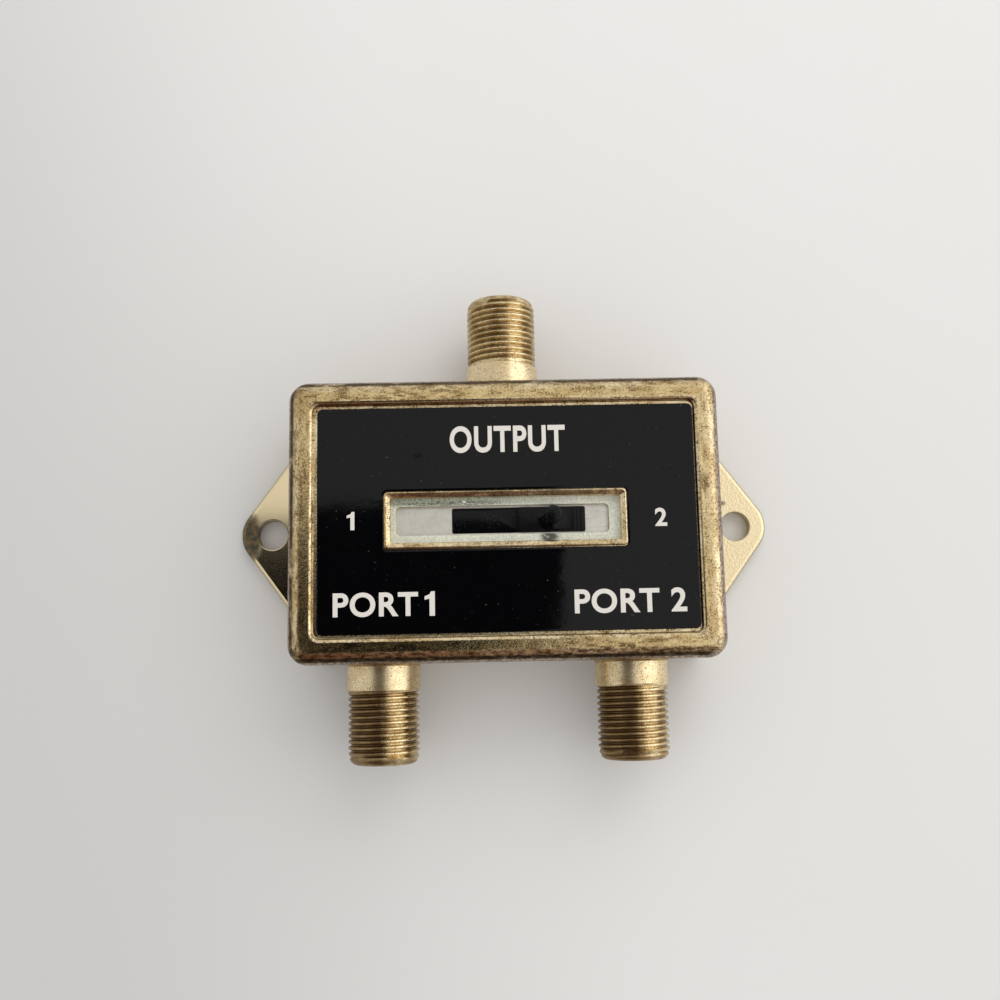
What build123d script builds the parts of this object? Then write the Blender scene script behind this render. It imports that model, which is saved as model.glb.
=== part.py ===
"""Coaxial switch box: a die-cast case, three threaded coaxial connectors and a slide switch.

Millimetres. X runs towards input 2, Y towards the output connector and Z out of the face.
The origin is the centre of the back, which rests on a table or against a wall.
"""
from build123d import *
import math
import os

# Case: a shallow die-cast box, open at the back, with a raised rim round its face
case_length = 57.0
case_width = 37.3
case_height = 17.6
case_corner_radius = 2.2
case_edge_radius = 1.2
side_wall = 2.0
face_wall = 1.5
cavity_corner_radius = 1.2
cut_overrun = 1.0

# Label: a thin printed plate in a shallow recess of the face
label_length = 49.6
label_width = 29.7
label_thickness = 0.15
label_corner_radius = 0.6
label_ledge = 0.35
label_shift_x = 0.2
label_lip_gap = 0.1
recess_depth = 0.75
rim_bevel_width = 0.65

# Window: a pocket with a raised lip, and a slot in its floor over the switch
window_length = 30.1
window_width = 5.9
window_depth = 0.85
window_corner_radius = 0.4
window_shift_y = -0.15
lip_width = 0.8
lip_height = 0.6
lip_edge_radius = 0.25
lip_corner_radius = 0.5
lip_slope_width = 0.45
lip_slope_depth = 0.3
slot_length = 28.0
slot_width = 4.0
slot_corner_radius = 0.6
slot_shift_x = -0.4

# Ears: one on each side, level with the back, for a screw each
ear_hole_spacing = 66.7
ear_hole_radius = 2.15
ear_hole_chamfer = 0.3
ear_tip_radius = 4.45
ear_root_width = 31.0
ear_thickness = 2.0
ear_edge_radius = 0.6

# Back cover: a plate on a ledge of the case, held by four cast pegs that are peened over
cover_thickness = 0.8
cover_depth = 0.5
cover_seat_width = 0.8
cover_gap = 0.1
cover_post_radius = 2.4
cover_post_inset = 1.8
cover_peg_radius = 1.0
peg_hole_gap = 0.1
peg_head_radius = 1.7
peg_head_height = 0.4

# Connectors: a threaded barrel with an insulator and a contact in it
input_spacing = 33.6
connector_height = 8.3
shoulder_radius = 4.95
shoulder_length = 3.45
thread_radius = 4.7625
thread_pitch = 0.79375
thread_half_angle = 30.0
crest_share = 0.25
root_share = 0.25
barrel_reach = 13.2
barrel_end_land = 0.45
barrel_end_chamfer = 0.55
spigot_radius = 4.2
spigot_tail = 1.0
press_gap = 0.02
barrel_bore_radius = 3.1
insulator_recess = 0.35
insulator_mouth_radius = 0.65
insulator_front_wall = 1.0
insulator_tail = 0.8
contact_radius = 1.15
contact_bore_radius = 0.5
contact_bore_length = 7.0
contact_slot_width = 0.3
contact_slot_length = 4.0
contact_tail_radius = 0.6
contact_tail = 1.2

# Slide switch: a steel frame behind the face, a terminal board and the slider between them
switch_shift_x = 1.74
switch_travel = 8.8
stop_gap = 0.05
running_gap = 0.05
frame_sheet = 0.6
frame_inner_width = 8.4
frame_inner_depth = 4.4
frame_end_room = 0.4
frame_flange = 4.6
frame_corner_radius = 1.0
frame_tab_length = 3.2
frame_tab_reach = 1.3
frame_tab_spacing = 26.0
opening_corner_radius = 0.3
switch_peg_radius = 0.9
switch_peg_head_radius = 1.5
board_thickness = 1.2
board_gap = 0.05

# Slider: one black moulding with a finger nub, a cover wing and a carrier for the contacts
block_length = 8.7
block_width = 3.3
block_rise = 0.2
block_corner_radius = 0.25
wing_cover = 0.55
wing_thickness = 0.9
wing_side_gap = 0.1
nub_shift_x = 0.15
nub_shift_y = 0.2
nub_base_radius = 1.48
nub_base_height = 0.35
nub_radius = 1.15
nub_stem_shift_y = 0.3
nub_edge_radius = 0.3
nub_drop = 0.08
ridge_count = 3
ridge_width = 0.22
ridge_pitch = 0.5
ridge_height = 0.1
ridge_margin = 0.35
carrier_length = 12.4
carrier_width = 7.0
carrier_depth = 2.6

# Contacts and detent of the switch
pole_spacing = 4.2
terminal_width = 1.2
terminal_thickness = 0.5
terminal_slot_gap = 0.05
terminal_head_length = 2.0
terminal_head_width = 1.6
terminal_head_height = 0.4
terminal_drop = 3.9
terminal_eye_radius = 0.35
clip_width = 1.5
clip_sheet = 0.3
clip_end_margin = 0.8
clip_foot_radius = 0.6
clip_pocket_gap = 0.1
contact_gap = 0.05
detent_ball_radius = 0.9
detent_bore_gap = 0.05
detent_bore_depth = 5.0
detent_dimple_radius = 0.7
spring_wire_radius = 0.13
spring_coil_radius = 0.65
spring_turns = 5

# Link wires: bare wire from each contact to a terminal
wire_radius = 0.4
wire_bend_radius = 1.6
wire_end_bend_radius = 0.5
wire_straight = 4.2
wire_approach = 3.6
wire_drop_below_frame = 1.75

# Places that follow from the sizes above
wall_x = case_length / 2
wall_y = case_width / 2
face_z = case_height - recess_depth
inner_z = face_z - face_wall
lip_top_z = face_z + lip_height
window_floor_z = face_z - window_depth
cover_back_z = cover_depth
cover_seat_z = cover_back_z + cover_thickness
cavity_length = case_length - 2 * side_wall
cavity_width = case_width - 2 * side_wall
seat_length = cavity_length + 2 * cover_seat_width
seat_width = cavity_width + 2 * cover_seat_width
post_x = cavity_length / 2 - cover_post_inset
post_y = cavity_width / 2 - cover_post_inset
ear_hole_x = ear_hole_spacing / 2
input_x = input_spacing / 2

frame_under_z = inner_z - frame_sheet
board_top_z = frame_under_z - frame_inner_depth
board_back_z = board_top_z - board_thickness
frame_back_z = board_back_z - frame_sheet
opening_length = block_length + switch_travel + 2 * stop_gap
opening_width = block_width + 2 * running_gap
slider_rest_x = switch_shift_x + switch_travel / 2
wing_length = block_length + 2 * (switch_travel + wing_cover)
frame_inner_length = wing_length + switch_travel + 2 * frame_end_room
frame_outer_length = frame_inner_length + 2 * frame_sheet
frame_outer_width = frame_inner_width + 2 * frame_sheet
switch_peg_spacing = frame_outer_length + frame_flange
wing_top_z = frame_under_z - running_gap
wing_under_z = wing_top_z - wing_thickness
block_top_z = inner_z + block_rise
nub_top_z = case_height - nub_drop
carrier_under_z = wing_under_z - carrier_depth
terminal_pitch = switch_travel
pole_y = pole_spacing / 2
terminal_end_z = frame_back_z - terminal_drop
head_top_z = board_top_z + terminal_head_height
clip_foot_z = head_top_z + contact_gap
clip_under_z = clip_foot_z + clip_foot_radius
clip_top_z = clip_under_z + clip_sheet
clip_length = terminal_pitch + 2 * clip_end_margin
detent_bore_radius = detent_ball_radius + detent_bore_gap
detent_z = (clip_top_z + wing_under_z) / 2
detent_ball_y = frame_inner_width / 2 - running_gap - detent_ball_radius
contact_back = side_wall + spigot_tail + insulator_tail
wire_z = frame_back_z - wire_drop_below_frame

LOW = (Align.CENTER, Align.CENTER, Align.MIN)
HIGH = (Align.CENTER, Align.CENTER, Align.MAX)


def rounded_plate(length: float, width: float, radius: float, low_z: float, high_z: float) -> Part:
    """A flat block with rounded upright corners, centred on the Z axis."""
    return Pos(0, 0, low_z) * extrude(RectangleRounded(length, width, radius), high_z - low_z)


def turned(profile: list) -> Part:
    """A solid turned about Z from (radius, height) points."""
    face = make_face(Polyline(*profile, close=True))
    return revolve(Plane.XZ * face, Axis.Z)


def corners(x: float, y: float) -> list:
    """The four places at plus and minus x and y."""
    return [(sx * x, sy * y) for sx in (-1, 1) for sy in (-1, 1)]


def make_ear(side: int) -> Part:
    """A mounting ear with its screw hole; side is -1 for the left and 1 for the right."""
    root_x = side * (wall_x - side_wall / 2)
    half_root = ear_root_width / 2
    root = Line((root_x, -half_root), (root_x, half_root))
    tip = Pos(side * ear_hole_x, 0) * Circle(ear_tip_radius)
    ear = extrude(make_hull([*root.edges(), *tip.edges()]), ear_thickness)
    ear = fillet(ear.faces().sort_by(Axis.Z)[-1].edges(), ear_edge_radius)
    hole = Pos(side * ear_hole_x, 0, -cut_overrun) * Cylinder(
        ear_hole_radius, ear_thickness + 2 * cut_overrun, align=LOW)
    mouth = Pos(side * ear_hole_x, 0, ear_thickness - ear_hole_chamfer) * Cone(
        ear_hole_radius, ear_hole_radius + ear_hole_chamfer, ear_hole_chamfer, align=LOW)
    return ear - hole - mouth


def make_peened_peg(x: float, y: float, seat_z: float, sheet: float, radius: float, head: float) -> Part:
    """A cast peg through a sheet below seat_z, with its end spread into a head."""
    shank = Pos(x, y, seat_z) * Cylinder(radius, sheet + peg_head_height, align=HIGH)
    cap = Pos(x, y, seat_z - sheet) * Cylinder(head, peg_head_height, align=HIGH)
    return shank + cap


def make_recess() -> Part:
    """The label recess of the face, with the rim's bevel round it."""
    seat_face = Pos(0, 0, face_z) * RectangleRounded(
        label_length + 2 * label_ledge, label_width + 2 * label_ledge, label_corner_radius + label_ledge)
    bevel = rim_bevel_width + label_ledge
    rim_face = Pos(0, 0, case_height) * RectangleRounded(
        label_length + 2 * bevel, label_width + 2 * bevel, label_corner_radius + bevel)
    return loft([seat_face, rim_face])


def make_lip_slope() -> Part:
    """The room over the sloping inner face of the window's lip."""
    foot = Pos(0, 0, lip_top_z - lip_slope_depth) * RectangleRounded(
        window_length, window_width, window_corner_radius)
    mouth = Pos(0, 0, lip_top_z) * RectangleRounded(
        window_length + 2 * lip_slope_width, window_width + 2 * lip_slope_width, window_corner_radius)
    return loft([foot, mouth])


def make_case() -> Part:
    """The die-cast case with its ears, window, posts and pegs."""
    body = rounded_plate(case_length, case_width, case_corner_radius, 0, case_height)
    body = fillet(body.faces().sort_by(Axis.Z)[-1].edges(), case_edge_radius)
    body += [make_ear(side) for side in (-1, 1)]
    body -= make_recess()
    lip = rounded_plate(window_length + 2 * lip_width, window_width + 2 * lip_width,
                        lip_corner_radius, face_z - window_depth / 2, lip_top_z)
    lip = fillet(lip.faces().sort_by(Axis.Z)[-1].edges(), lip_edge_radius)
    body += Pos(0, window_shift_y, 0) * lip
    body -= Pos(0, window_shift_y, 0) * rounded_plate(
        window_length, window_width, window_corner_radius, window_floor_z, lip_top_z + cut_overrun)
    body -= Pos(0, window_shift_y, 0) * make_lip_slope()
    body -= Pos(slot_shift_x, window_shift_y, 0) * rounded_plate(
        slot_length, slot_width, slot_corner_radius, inner_z - cut_overrun, window_floor_z + cut_overrun)
    body -= rounded_plate(cavity_length, cavity_width, cavity_corner_radius, -cut_overrun, inner_z)
    body -= rounded_plate(seat_length, seat_width, cavity_corner_radius, -cut_overrun, cover_seat_z)
    for x, y in corners(post_x, post_y):
        body += Pos(x, y, cover_seat_z) * Cylinder(cover_post_radius, inner_z - cover_seat_z, align=LOW)
        body += make_peened_peg(x, y, cover_seat_z, cover_thickness, cover_peg_radius, peg_head_radius)
    for side in (-1, 1):
        peg_x = switch_shift_x + side * switch_peg_spacing / 2
        body += make_peened_peg(peg_x, window_shift_y, inner_z, frame_sheet,
                                switch_peg_radius, switch_peg_head_radius)
    for place in connector_places().values():
        hole = Pos(0, 0, -side_wall - cut_overrun) * Cylinder(
            spigot_radius + press_gap, side_wall + 2 * cut_overrun, align=LOW)
        body -= place * hole
    return body


def make_back_cover() -> Part:
    """The back plate, with a hole for each cast peg."""
    plate = rounded_plate(seat_length - 2 * cover_gap, seat_width - 2 * cover_gap,
                          cavity_corner_radius, cover_back_z, cover_seat_z)
    for x, y in corners(post_x, post_y):
        plate -= Pos(x, y, cover_back_z - cut_overrun) * Cylinder(
            cover_peg_radius + peg_hole_gap, cover_thickness + 2 * cut_overrun, align=LOW)
    return plate


def make_face_label() -> Part:
    """The thin label plate, cut out round the window's lip."""
    plate = Pos(label_shift_x, 0, 0) * rounded_plate(
        label_length, label_width, label_corner_radius, face_z, face_z + label_thickness)
    lip_room = lip_width + label_lip_gap
    cutout = rounded_plate(window_length + 2 * lip_room, window_width + 2 * lip_room,
                           lip_corner_radius + label_lip_gap, face_z - cut_overrun, face_z + cut_overrun)
    return plate - Pos(0, window_shift_y, 0) * cutout


def connector_places() -> dict:
    """Where each connector's axis leaves the case wall, with local Z pointing out of the wall."""
    places = {"output": (0, 1), "input_1": (-input_x, -1), "input_2": (input_x, -1)}
    return {
        name: Plane(origin=(x, side * wall_y, connector_height), x_dir=(1, 0, 0), z_dir=(0, side, 0)).location
        for name, (x, side) in places.items()}


def thread_outline() -> list:
    """The (radius, height) points of the thread's ring grooves, from the shoulder outwards."""
    flank = thread_pitch * (1 - crest_share - root_share) / 2
    root_radius = thread_radius - flank / math.tan(math.radians(thread_half_angle))
    thread_length = barrel_reach - shoulder_length - barrel_end_land - barrel_end_chamfer
    points = []
    for turn in range(int(thread_length / thread_pitch)):
        start = shoulder_length + turn * thread_pitch
        points += [
            (thread_radius, start),
            (root_radius, start + flank),
            (root_radius, start + flank + root_share * thread_pitch),
            (thread_radius, start + 2 * flank + root_share * thread_pitch)]
    return points


def make_barrel() -> Part:
    """A connector's threaded barrel, with its shoulder on the case and its spigot in the wall."""
    back = -side_wall - spigot_tail
    outline = [(barrel_bore_radius, back), (spigot_radius, back), (spigot_radius, 0),
               (shoulder_radius, 0), (shoulder_radius, shoulder_length)]
    outline += thread_outline()
    outline += [(thread_radius, barrel_reach - barrel_end_chamfer),
                (thread_radius - barrel_end_chamfer, barrel_reach),
                (barrel_bore_radius, barrel_reach)]
    return turned(outline)


def make_insulator() -> Part:
    """A connector's moulded insulator, with a mouth at the front and a chamber for the contact."""
    outer = barrel_bore_radius - press_gap
    chamber = contact_radius + press_gap
    front = barrel_reach - insulator_recess
    step = front - insulator_front_wall
    back = -contact_back
    return turned([(chamber, back), (outer, back), (outer, front), (insulator_mouth_radius, front),
                   (insulator_mouth_radius, step), (chamber, step)])


def make_contact() -> Part:
    """A connector's centre contact: a slotted socket with a solder tail."""
    front = barrel_reach - insulator_recess - insulator_front_wall - press_gap
    bore_end = front - contact_bore_length
    tail_end = -contact_back - contact_tail
    socket = turned([(0, tail_end), (contact_tail_radius, tail_end), (contact_tail_radius, -contact_back),
                     (contact_radius, -contact_back), (contact_radius, front),
                     (contact_bore_radius, front), (contact_bore_radius, bore_end), (0, bore_end)])
    slot = Pos(0, 0, front - contact_slot_length) * Box(
        2 * contact_radius + cut_overrun, contact_slot_width, contact_slot_length + cut_overrun, align=LOW)
    return socket - slot


def at_switch(shape: Part) -> Part:
    """Move a shape made about the Z axis to the middle of the switch's opening."""
    return Pos(switch_shift_x, window_shift_y, 0) * shape


def at_slider(shape: Part) -> Part:
    """Move a shape made about the Z axis to the middle of the slider where it rests."""
    return Pos(slider_rest_x, window_shift_y, 0) * shape


def make_switch_frame() -> Part:
    """The switch's steel frame: a drawn channel with end flanges and tabs bent under the board."""
    flange_length = switch_peg_spacing + frame_flange
    frame = rounded_plate(flange_length, frame_outer_width, frame_corner_radius, frame_under_z, inner_z)
    shell = rounded_plate(frame_outer_length, frame_outer_width, frame_corner_radius, board_top_z, inner_z)
    sides = Pos(0, 0, frame_back_z) * Box(
        frame_outer_length - 2 * frame_corner_radius, frame_outer_width, inner_z - frame_back_z, align=LOW)
    frame += shell + sides
    frame -= Pos(0, 0, frame_back_z - cut_overrun) * Box(
        frame_inner_length, frame_inner_width, frame_under_z - frame_back_z + cut_overrun, align=LOW)
    frame -= Pos(0, 0, frame_back_z - cut_overrun) * Box(
        frame_outer_length, frame_inner_width, board_top_z - frame_back_z + cut_overrun, align=LOW)
    for x, y in corners(frame_tab_spacing / 2, frame_inner_width / 2):
        reach = Align.MIN if y < 0 else Align.MAX
        frame += Pos(x, y, frame_back_z) * Box(
            frame_tab_length, frame_tab_reach, frame_sheet, align=(Align.CENTER, reach, Align.MIN))
    frame -= rounded_plate(opening_length, opening_width, opening_corner_radius,
                           frame_under_z - cut_overrun, inner_z + cut_overrun)
    for side in (-1, 1):
        frame -= Pos(side * switch_peg_spacing / 2, 0, frame_under_z - cut_overrun) * Cylinder(
            switch_peg_radius + peg_hole_gap, frame_sheet + 2 * cut_overrun, align=LOW)
        dimple = Rot(90, 0, 0) * Cylinder(detent_dimple_radius, frame_sheet + cut_overrun)
        frame -= Pos(side * switch_travel / 2, (frame_inner_width + frame_sheet) / 2, detent_z) * dimple
    return at_switch(frame)


def make_switch_board() -> Part:
    """The switch's terminal board, with a slot for each terminal."""
    board = Pos(0, 0, board_back_z) * Box(
        frame_outer_length, frame_inner_width - 2 * board_gap, board_thickness, align=LOW)
    slot = Box(terminal_width + 2 * terminal_slot_gap, terminal_thickness + 2 * terminal_slot_gap,
               board_thickness + 2 * cut_overrun, align=LOW)
    for column in (-1, 0, 1):
        for row in (-1, 1):
            board -= Pos(column * terminal_pitch, row * pole_y, board_back_z - cut_overrun) * slot
    return at_switch(board)


def make_terminal(column: int, row: int) -> Part:
    """A terminal: a contact head on the board and a solder lug with an eye behind it."""
    stem = Pos(0, 0, terminal_end_z) * Box(
        terminal_width, terminal_thickness, board_top_z - terminal_end_z, align=LOW)
    head = Pos(0, 0, board_top_z) * Box(
        terminal_head_length, terminal_head_width, terminal_head_height, align=LOW)
    eye = Pos(0, 0, terminal_end_z + terminal_width / 2) * Rot(90, 0, 0) * Cylinder(
        terminal_eye_radius, terminal_thickness + cut_overrun)
    return at_switch(Pos(column * terminal_pitch, row * pole_y, 0) * (stem + head - eye))


def make_slider() -> Part:
    """The slider: wing, block with nub and ridges above it, and contact carrier below it."""
    wing_width = frame_inner_width - 2 * wing_side_gap
    slider = Pos(0, 0, wing_under_z) * Box(wing_length, wing_width, wing_thickness, align=LOW)
    slider += rounded_plate(block_length, block_width, block_corner_radius, wing_under_z, block_top_z)
    slider += Pos(0, 0, carrier_under_z) * Box(carrier_length, carrier_width, carrier_depth, align=LOW)
    ridge_span = block_width - 2 * block_corner_radius
    for ridge in range(ridge_count):
        ridge_x = block_length / 2 - ridge_margin - ridge * ridge_pitch
        slider += Pos(ridge_x, 0, block_top_z) * Box(
            ridge_width, ridge_span, ridge_height, align=(Align.MAX, Align.CENTER, Align.MIN))
    stem = Cylinder(nub_radius, nub_top_z - block_top_z, align=LOW)
    stem = fillet(stem.faces().sort_by(Axis.Z)[-1].edges(), nub_edge_radius)
    nub = Pos(0, nub_stem_shift_y, 0) * stem + Cylinder(nub_base_radius, nub_base_height, align=LOW)
    slider += Pos(nub_shift_x, nub_shift_y, block_top_z) * nub
    for row in (-1, 1):
        pocket = Box(clip_length + 2 * clip_pocket_gap, clip_width + 2 * clip_pocket_gap,
                     clip_top_z - carrier_under_z + cut_overrun, align=HIGH)
        slider -= Pos(0, row * pole_y, clip_top_z) * pocket
    bore = Rot(-90, 0, 0) * Cylinder(detent_bore_radius, detent_bore_depth + cut_overrun, align=LOW)
    slider -= Pos(0, carrier_width / 2 - detent_bore_depth, detent_z) * bore
    return at_slider(slider)


def make_contact_clip(row: int) -> Part:
    """A bridging contact: a strip with a rounded foot at each end, standing on two terminals."""
    strip = Pos(0, (clip_under_z + clip_top_z) / 2) * Rectangle(clip_length, clip_sheet)
    for side in (-1, 1):
        foot = Pos(side * terminal_pitch / 2, clip_under_z) * (
            Circle(clip_foot_radius) & Pos(0, -clip_foot_radius / 2) * Rectangle(
                2 * clip_foot_radius, clip_foot_radius))
        hollow = Pos(side * terminal_pitch / 2, clip_under_z) * Circle(clip_foot_radius - clip_sheet)
        gap = Pos(side * terminal_pitch / 2, clip_top_z) * Rectangle(
            2 * (clip_foot_radius - clip_sheet), 2 * clip_sheet)
        strip = strip + foot - hollow - gap
    clip = extrude(Plane.XZ * strip, clip_width / 2, both=True)
    return at_slider(Pos(0, row * pole_y, 0) * clip)


def make_detent_ball() -> Part:
    """The ball that clicks into the frame's side."""
    return at_slider(Pos(0, detent_ball_y, detent_z) * Sphere(detent_ball_radius))


def make_detent_spring() -> Part:
    """The coil spring behind the detent ball, wound along its bore."""
    bore_end_y = carrier_width / 2 - detent_bore_depth
    length = detent_ball_y - detent_ball_radius - bore_end_y - 2 * spring_wire_radius
    coil = Helix(pitch=length / spring_turns, height=length, radius=spring_coil_radius)
    wire = sweep(Plane(origin=coil @ 0, z_dir=coil % 0) * Circle(spring_wire_radius), path=coil)
    start = Pos(0, bore_end_y + spring_wire_radius, detent_z)
    return at_slider(start * Rot(-90, 0, 0) * wire)


def make_link_wire(points: list, bends: list) -> Part:
    """A bare wire along straight runs joined by bends."""
    path = FilletPolyline(*points, radius=bends)
    return sweep(Plane(origin=path @ 0, z_dir=path % 0) * Circle(wire_radius), path=path)


def make_link_wires() -> dict:
    """The wires from the three contacts to the terminals of the switch's lower row."""
    tail_y = wall_y - contact_back - contact_tail
    lug_y = window_shift_y - pole_y
    wires = {}
    for number, side in ((1, -1), (2, 1)):
        lug_x = switch_shift_x + side * terminal_pitch
        wires[f"input_{number}_link_wire"] = make_link_wire(
            [(side * input_x, -tail_y, connector_height),
             (side * input_x, -tail_y + wire_straight, connector_height),
             (lug_x, lug_y - wire_approach, wire_z),
             (lug_x, lug_y - terminal_thickness / 2, wire_z)],
            [wire_bend_radius, wire_bend_radius])
    wires["output_link_wire"] = make_link_wire(
        [(0, tail_y, connector_height),
         (0, tail_y - wire_straight, connector_height),
         (0, frame_outer_width / 2, wire_z),
         (0, lug_y, wire_z),
         (switch_shift_x - terminal_width / 2, lug_y, wire_z)],
        [wire_bend_radius, wire_bend_radius, wire_end_bend_radius])
    return wires


def make_nodes() -> dict:
    """Every sub-part of the switch box by its node name."""
    nodes = {
        "case": make_case(),
        "back_cover": make_back_cover(),
        "face_label": make_face_label(),
        "switch_frame": make_switch_frame(),
        "switch_board": make_switch_board(),
        "slider": make_slider(),
        "contact_clip_a": make_contact_clip(-1),
        "contact_clip_b": make_contact_clip(1),
        "detent_ball": make_detent_ball(),
        "detent_spring": make_detent_spring()}
    for name, place in connector_places().items():
        nodes[f"{name}_barrel"] = place * make_barrel()
        nodes[f"{name}_insulator"] = place * make_insulator()
        nodes[f"{name}_contact"] = place * make_contact()
    for row_name, row in (("a", -1), ("b", 1)):
        for column_name, column in (("1", -1), ("common", 0), ("2", 1)):
            nodes[f"terminal_{column_name}_{row_name}"] = make_terminal(column, row)
    nodes.update(make_link_wires())
    return nodes


os.makedirs("parts", exist_ok=True)
for node_name, node_shape in make_nodes().items():
    export_step(node_shape, f"parts/{node_name}.step")
    print(node_name, len(node_shape.solids()), round(node_shape.volume, 3))
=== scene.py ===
"""The looks of a coaxial switch box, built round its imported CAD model.

A gold-plated die-cast case with two screw ears, a glossy black label, a slide switch in a
window and three threaded connectors, on a pale table in soft daylight. Every mesh is in
metres in the CAD's frame; the fields of the classes are millimetres.
"""

import logging
import math
from dataclasses import dataclass, field
from enum import Enum
from typing import Any, Iterable, Sequence

import bpy
import numpy as np
from mathutils import Matrix, Vector, noise


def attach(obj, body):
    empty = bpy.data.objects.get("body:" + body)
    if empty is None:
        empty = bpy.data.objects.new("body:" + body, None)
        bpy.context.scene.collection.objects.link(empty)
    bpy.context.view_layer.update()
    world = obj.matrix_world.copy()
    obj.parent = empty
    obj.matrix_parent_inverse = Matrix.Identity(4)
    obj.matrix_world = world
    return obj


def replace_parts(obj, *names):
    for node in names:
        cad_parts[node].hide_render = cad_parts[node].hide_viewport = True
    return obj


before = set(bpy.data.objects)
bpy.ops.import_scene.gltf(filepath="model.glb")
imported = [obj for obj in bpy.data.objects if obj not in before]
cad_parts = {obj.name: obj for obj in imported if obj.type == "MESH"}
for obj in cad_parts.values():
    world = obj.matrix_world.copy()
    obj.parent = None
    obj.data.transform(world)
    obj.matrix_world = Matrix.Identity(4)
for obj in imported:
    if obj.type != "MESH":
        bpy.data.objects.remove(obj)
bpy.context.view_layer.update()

MM = 0.001
# The inset that the case's UV map gives an ear, and the mask that parts the ears from the rest
EAR_INSET = -80.0
OFF_EAR = (-60.0, -50.0)
LOG = logging.getLogger("switch_box")
Tree = bpy.types.NodeTree
Socket = bpy.types.NodeSocket
Thing = bpy.types.Object
# Where a soft mask begins and where it is full
Fade = tuple[float, float]


class Tint(Enum):
    """The colours of the object and its studio, as sRGB hex values."""

    PALE_GOLD = "F4E1B8"
    DEEP_GOLD = "CFB078"
    RIM_GOLD = "DEC489"
    # Brown tarnish; over the left side of the lower connectors' threads it is painted shade
    BROWN_TARNISH_AND_SHADE = "6E5230"
    # Dark tarnish; laid as the line on the crown it is a painted dark reflection
    DARK_TARNISH_AND_REFLECTION = "2C2016"
    BARE_ZINC = "B0A49A"
    EAR_VERDIGRIS = "46524C"
    WORN_NICKEL = "CFCBC2"
    WINDOW_GREY = "F0F1E2"
    WINDOW_GREEN = "A9B29C"
    WINDOW_DIRT = "17150F"
    TURNED_GOLD = "DCC698"
    THREAD_BROWN = "4A3420"
    LABEL_BLACK = "060608"
    LABEL_DUST = "8D8A84"
    INK_WHITE = "E5E0D8"
    NYLON_BLACK = "08090C"
    NYLON_DUST = "77767A"
    PLATE_WHITE = "E0DFD6"
    PLATE_SCRATCH = "8E877C"
    INSULATOR_IVORY = "E9E2CF"
    BRONZE = "C79A5B"
    PHENOLIC = "6E4527"
    BRASS = "C9A85A"
    STEEL = "B9BABC"
    COPPER_TIN = "C8C6C2"
    COVER_GOLD = "E8D49A"
    TABLE = "EAE9E8"
    # Painted shade on the table, towards the left
    TABLE_PAINTED_SHADE = "D4D3D2"
    ROOM_LIGHT = "FDFCFA"
    ROOM_BROWN = "805848"
    ROOM_DARK = "1F1714"
    FLAG = "0B0A09"


class Way(Enum):
    """The wall of the case that a connector stands on."""

    TOP = 1
    BOTTOM = -1


@dataclass(frozen=True)
class Speckle:
    """A random pattern in millimetres, and the noise levels that cut it into a mask.

    The mask begins where the noise is at low and is full where it is at high. Detail is how
    many finer layers break up its edges, and rough is how strong those are.
    """

    size: float
    low: float
    high: float
    detail: float = 3.0
    rough: float = 0.55


@dataclass(frozen=True)
class Mark:
    """An oval place in millimetres: its middle, its half lengths and the share that fades."""

    middle: tuple[float, float]
    reach: tuple[float, float]
    soft: float = 0.5


def linear(tint: Tint) -> tuple[float, float, float, float]:
    """Turn a colour from sRGB hex to the linear values that a shader takes.

    Args:
        tint: the colour.
    Returns:
        Red, green, blue and alpha.
    """
    parts = [int(tint.value[place:place + 2], 16) / 255 for place in (0, 2, 4)]
    red, green, blue = [part / 12.92 if part <= 0.04045 else ((part + 0.055) / 1.055) ** 2.4 for part in parts]
    return red, green, blue, 1.0


def add_node(tree: Tree, kind: str, inputs: dict[str | int, Any] | None = None,
             **settings: Any) -> bpy.types.Node:
    """Add a node with its settings, values and links.

    Args:
        tree: the tree that gets the node.
        kind: the node's type name.
        inputs: a value, a colour or another node's output for each input, by name or number.
        settings: the node's own settings.
    Returns:
        The new node.
    """
    node = tree.nodes.new(kind)
    for name, value in settings.items():
        setattr(node, name, value)
    for key, value in (inputs or {}).items():
        if isinstance(value, Socket):
            tree.links.new(value, node.inputs[key])
        else:
            node.inputs[key].default_value = linear(value) if isinstance(value, Tint) else value
    return node


def place_in_mm(tree: Tree, stretch: Sequence[float] = (1, 1, 1)) -> Socket:
    """Give the object coordinates in millimetres, squeezed where a pattern runs long.

    Args:
        tree: the material's tree.
        stretch: how many times shorter the pattern gets along X, Y and Z.
    Returns:
        The coordinates.
    """
    place = add_node(tree, "ShaderNodeTexCoord").outputs["Object"]
    scale = [part / MM for part in stretch]
    return add_node(tree, "ShaderNodeVectorMath", {0: place, 1: scale}, operation="MULTIPLY").outputs[0]


def ramp(tree: Tree, value: Any, low: float, high: float) -> Socket:
    """Make a soft mask that is 0 where a value is at low and 1 where it is at high.

    Args:
        tree: the material's tree.
        value: the output or number that the mask follows.
        low: where the mask begins.
        high: where it is full; it may be below low.
    Returns:
        The mask, from 0 to 1.
    """
    return add_node(tree, "ShaderNodeMapRange", {"Value": value, "From Min": low, "From Max": high},
                    interpolation_type="SMOOTHSTEP").outputs["Result"]


def spots(tree: Tree, place: Socket, pattern: Speckle) -> Socket:
    """Make a soft-edged random mask.

    Args:
        tree: the material's tree.
        place: coordinates in millimetres.
        pattern: the pattern.
    Returns:
        The mask, from 0 to 1.
    """
    cloud = add_node(tree, "ShaderNodeTexNoise", {
        "Vector": place, "Scale": 1 / pattern.size, "Detail": pattern.detail,
        "Roughness": pattern.rough}).outputs["Fac"]
    return ramp(tree, cloud, pattern.low, pattern.high)


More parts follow.
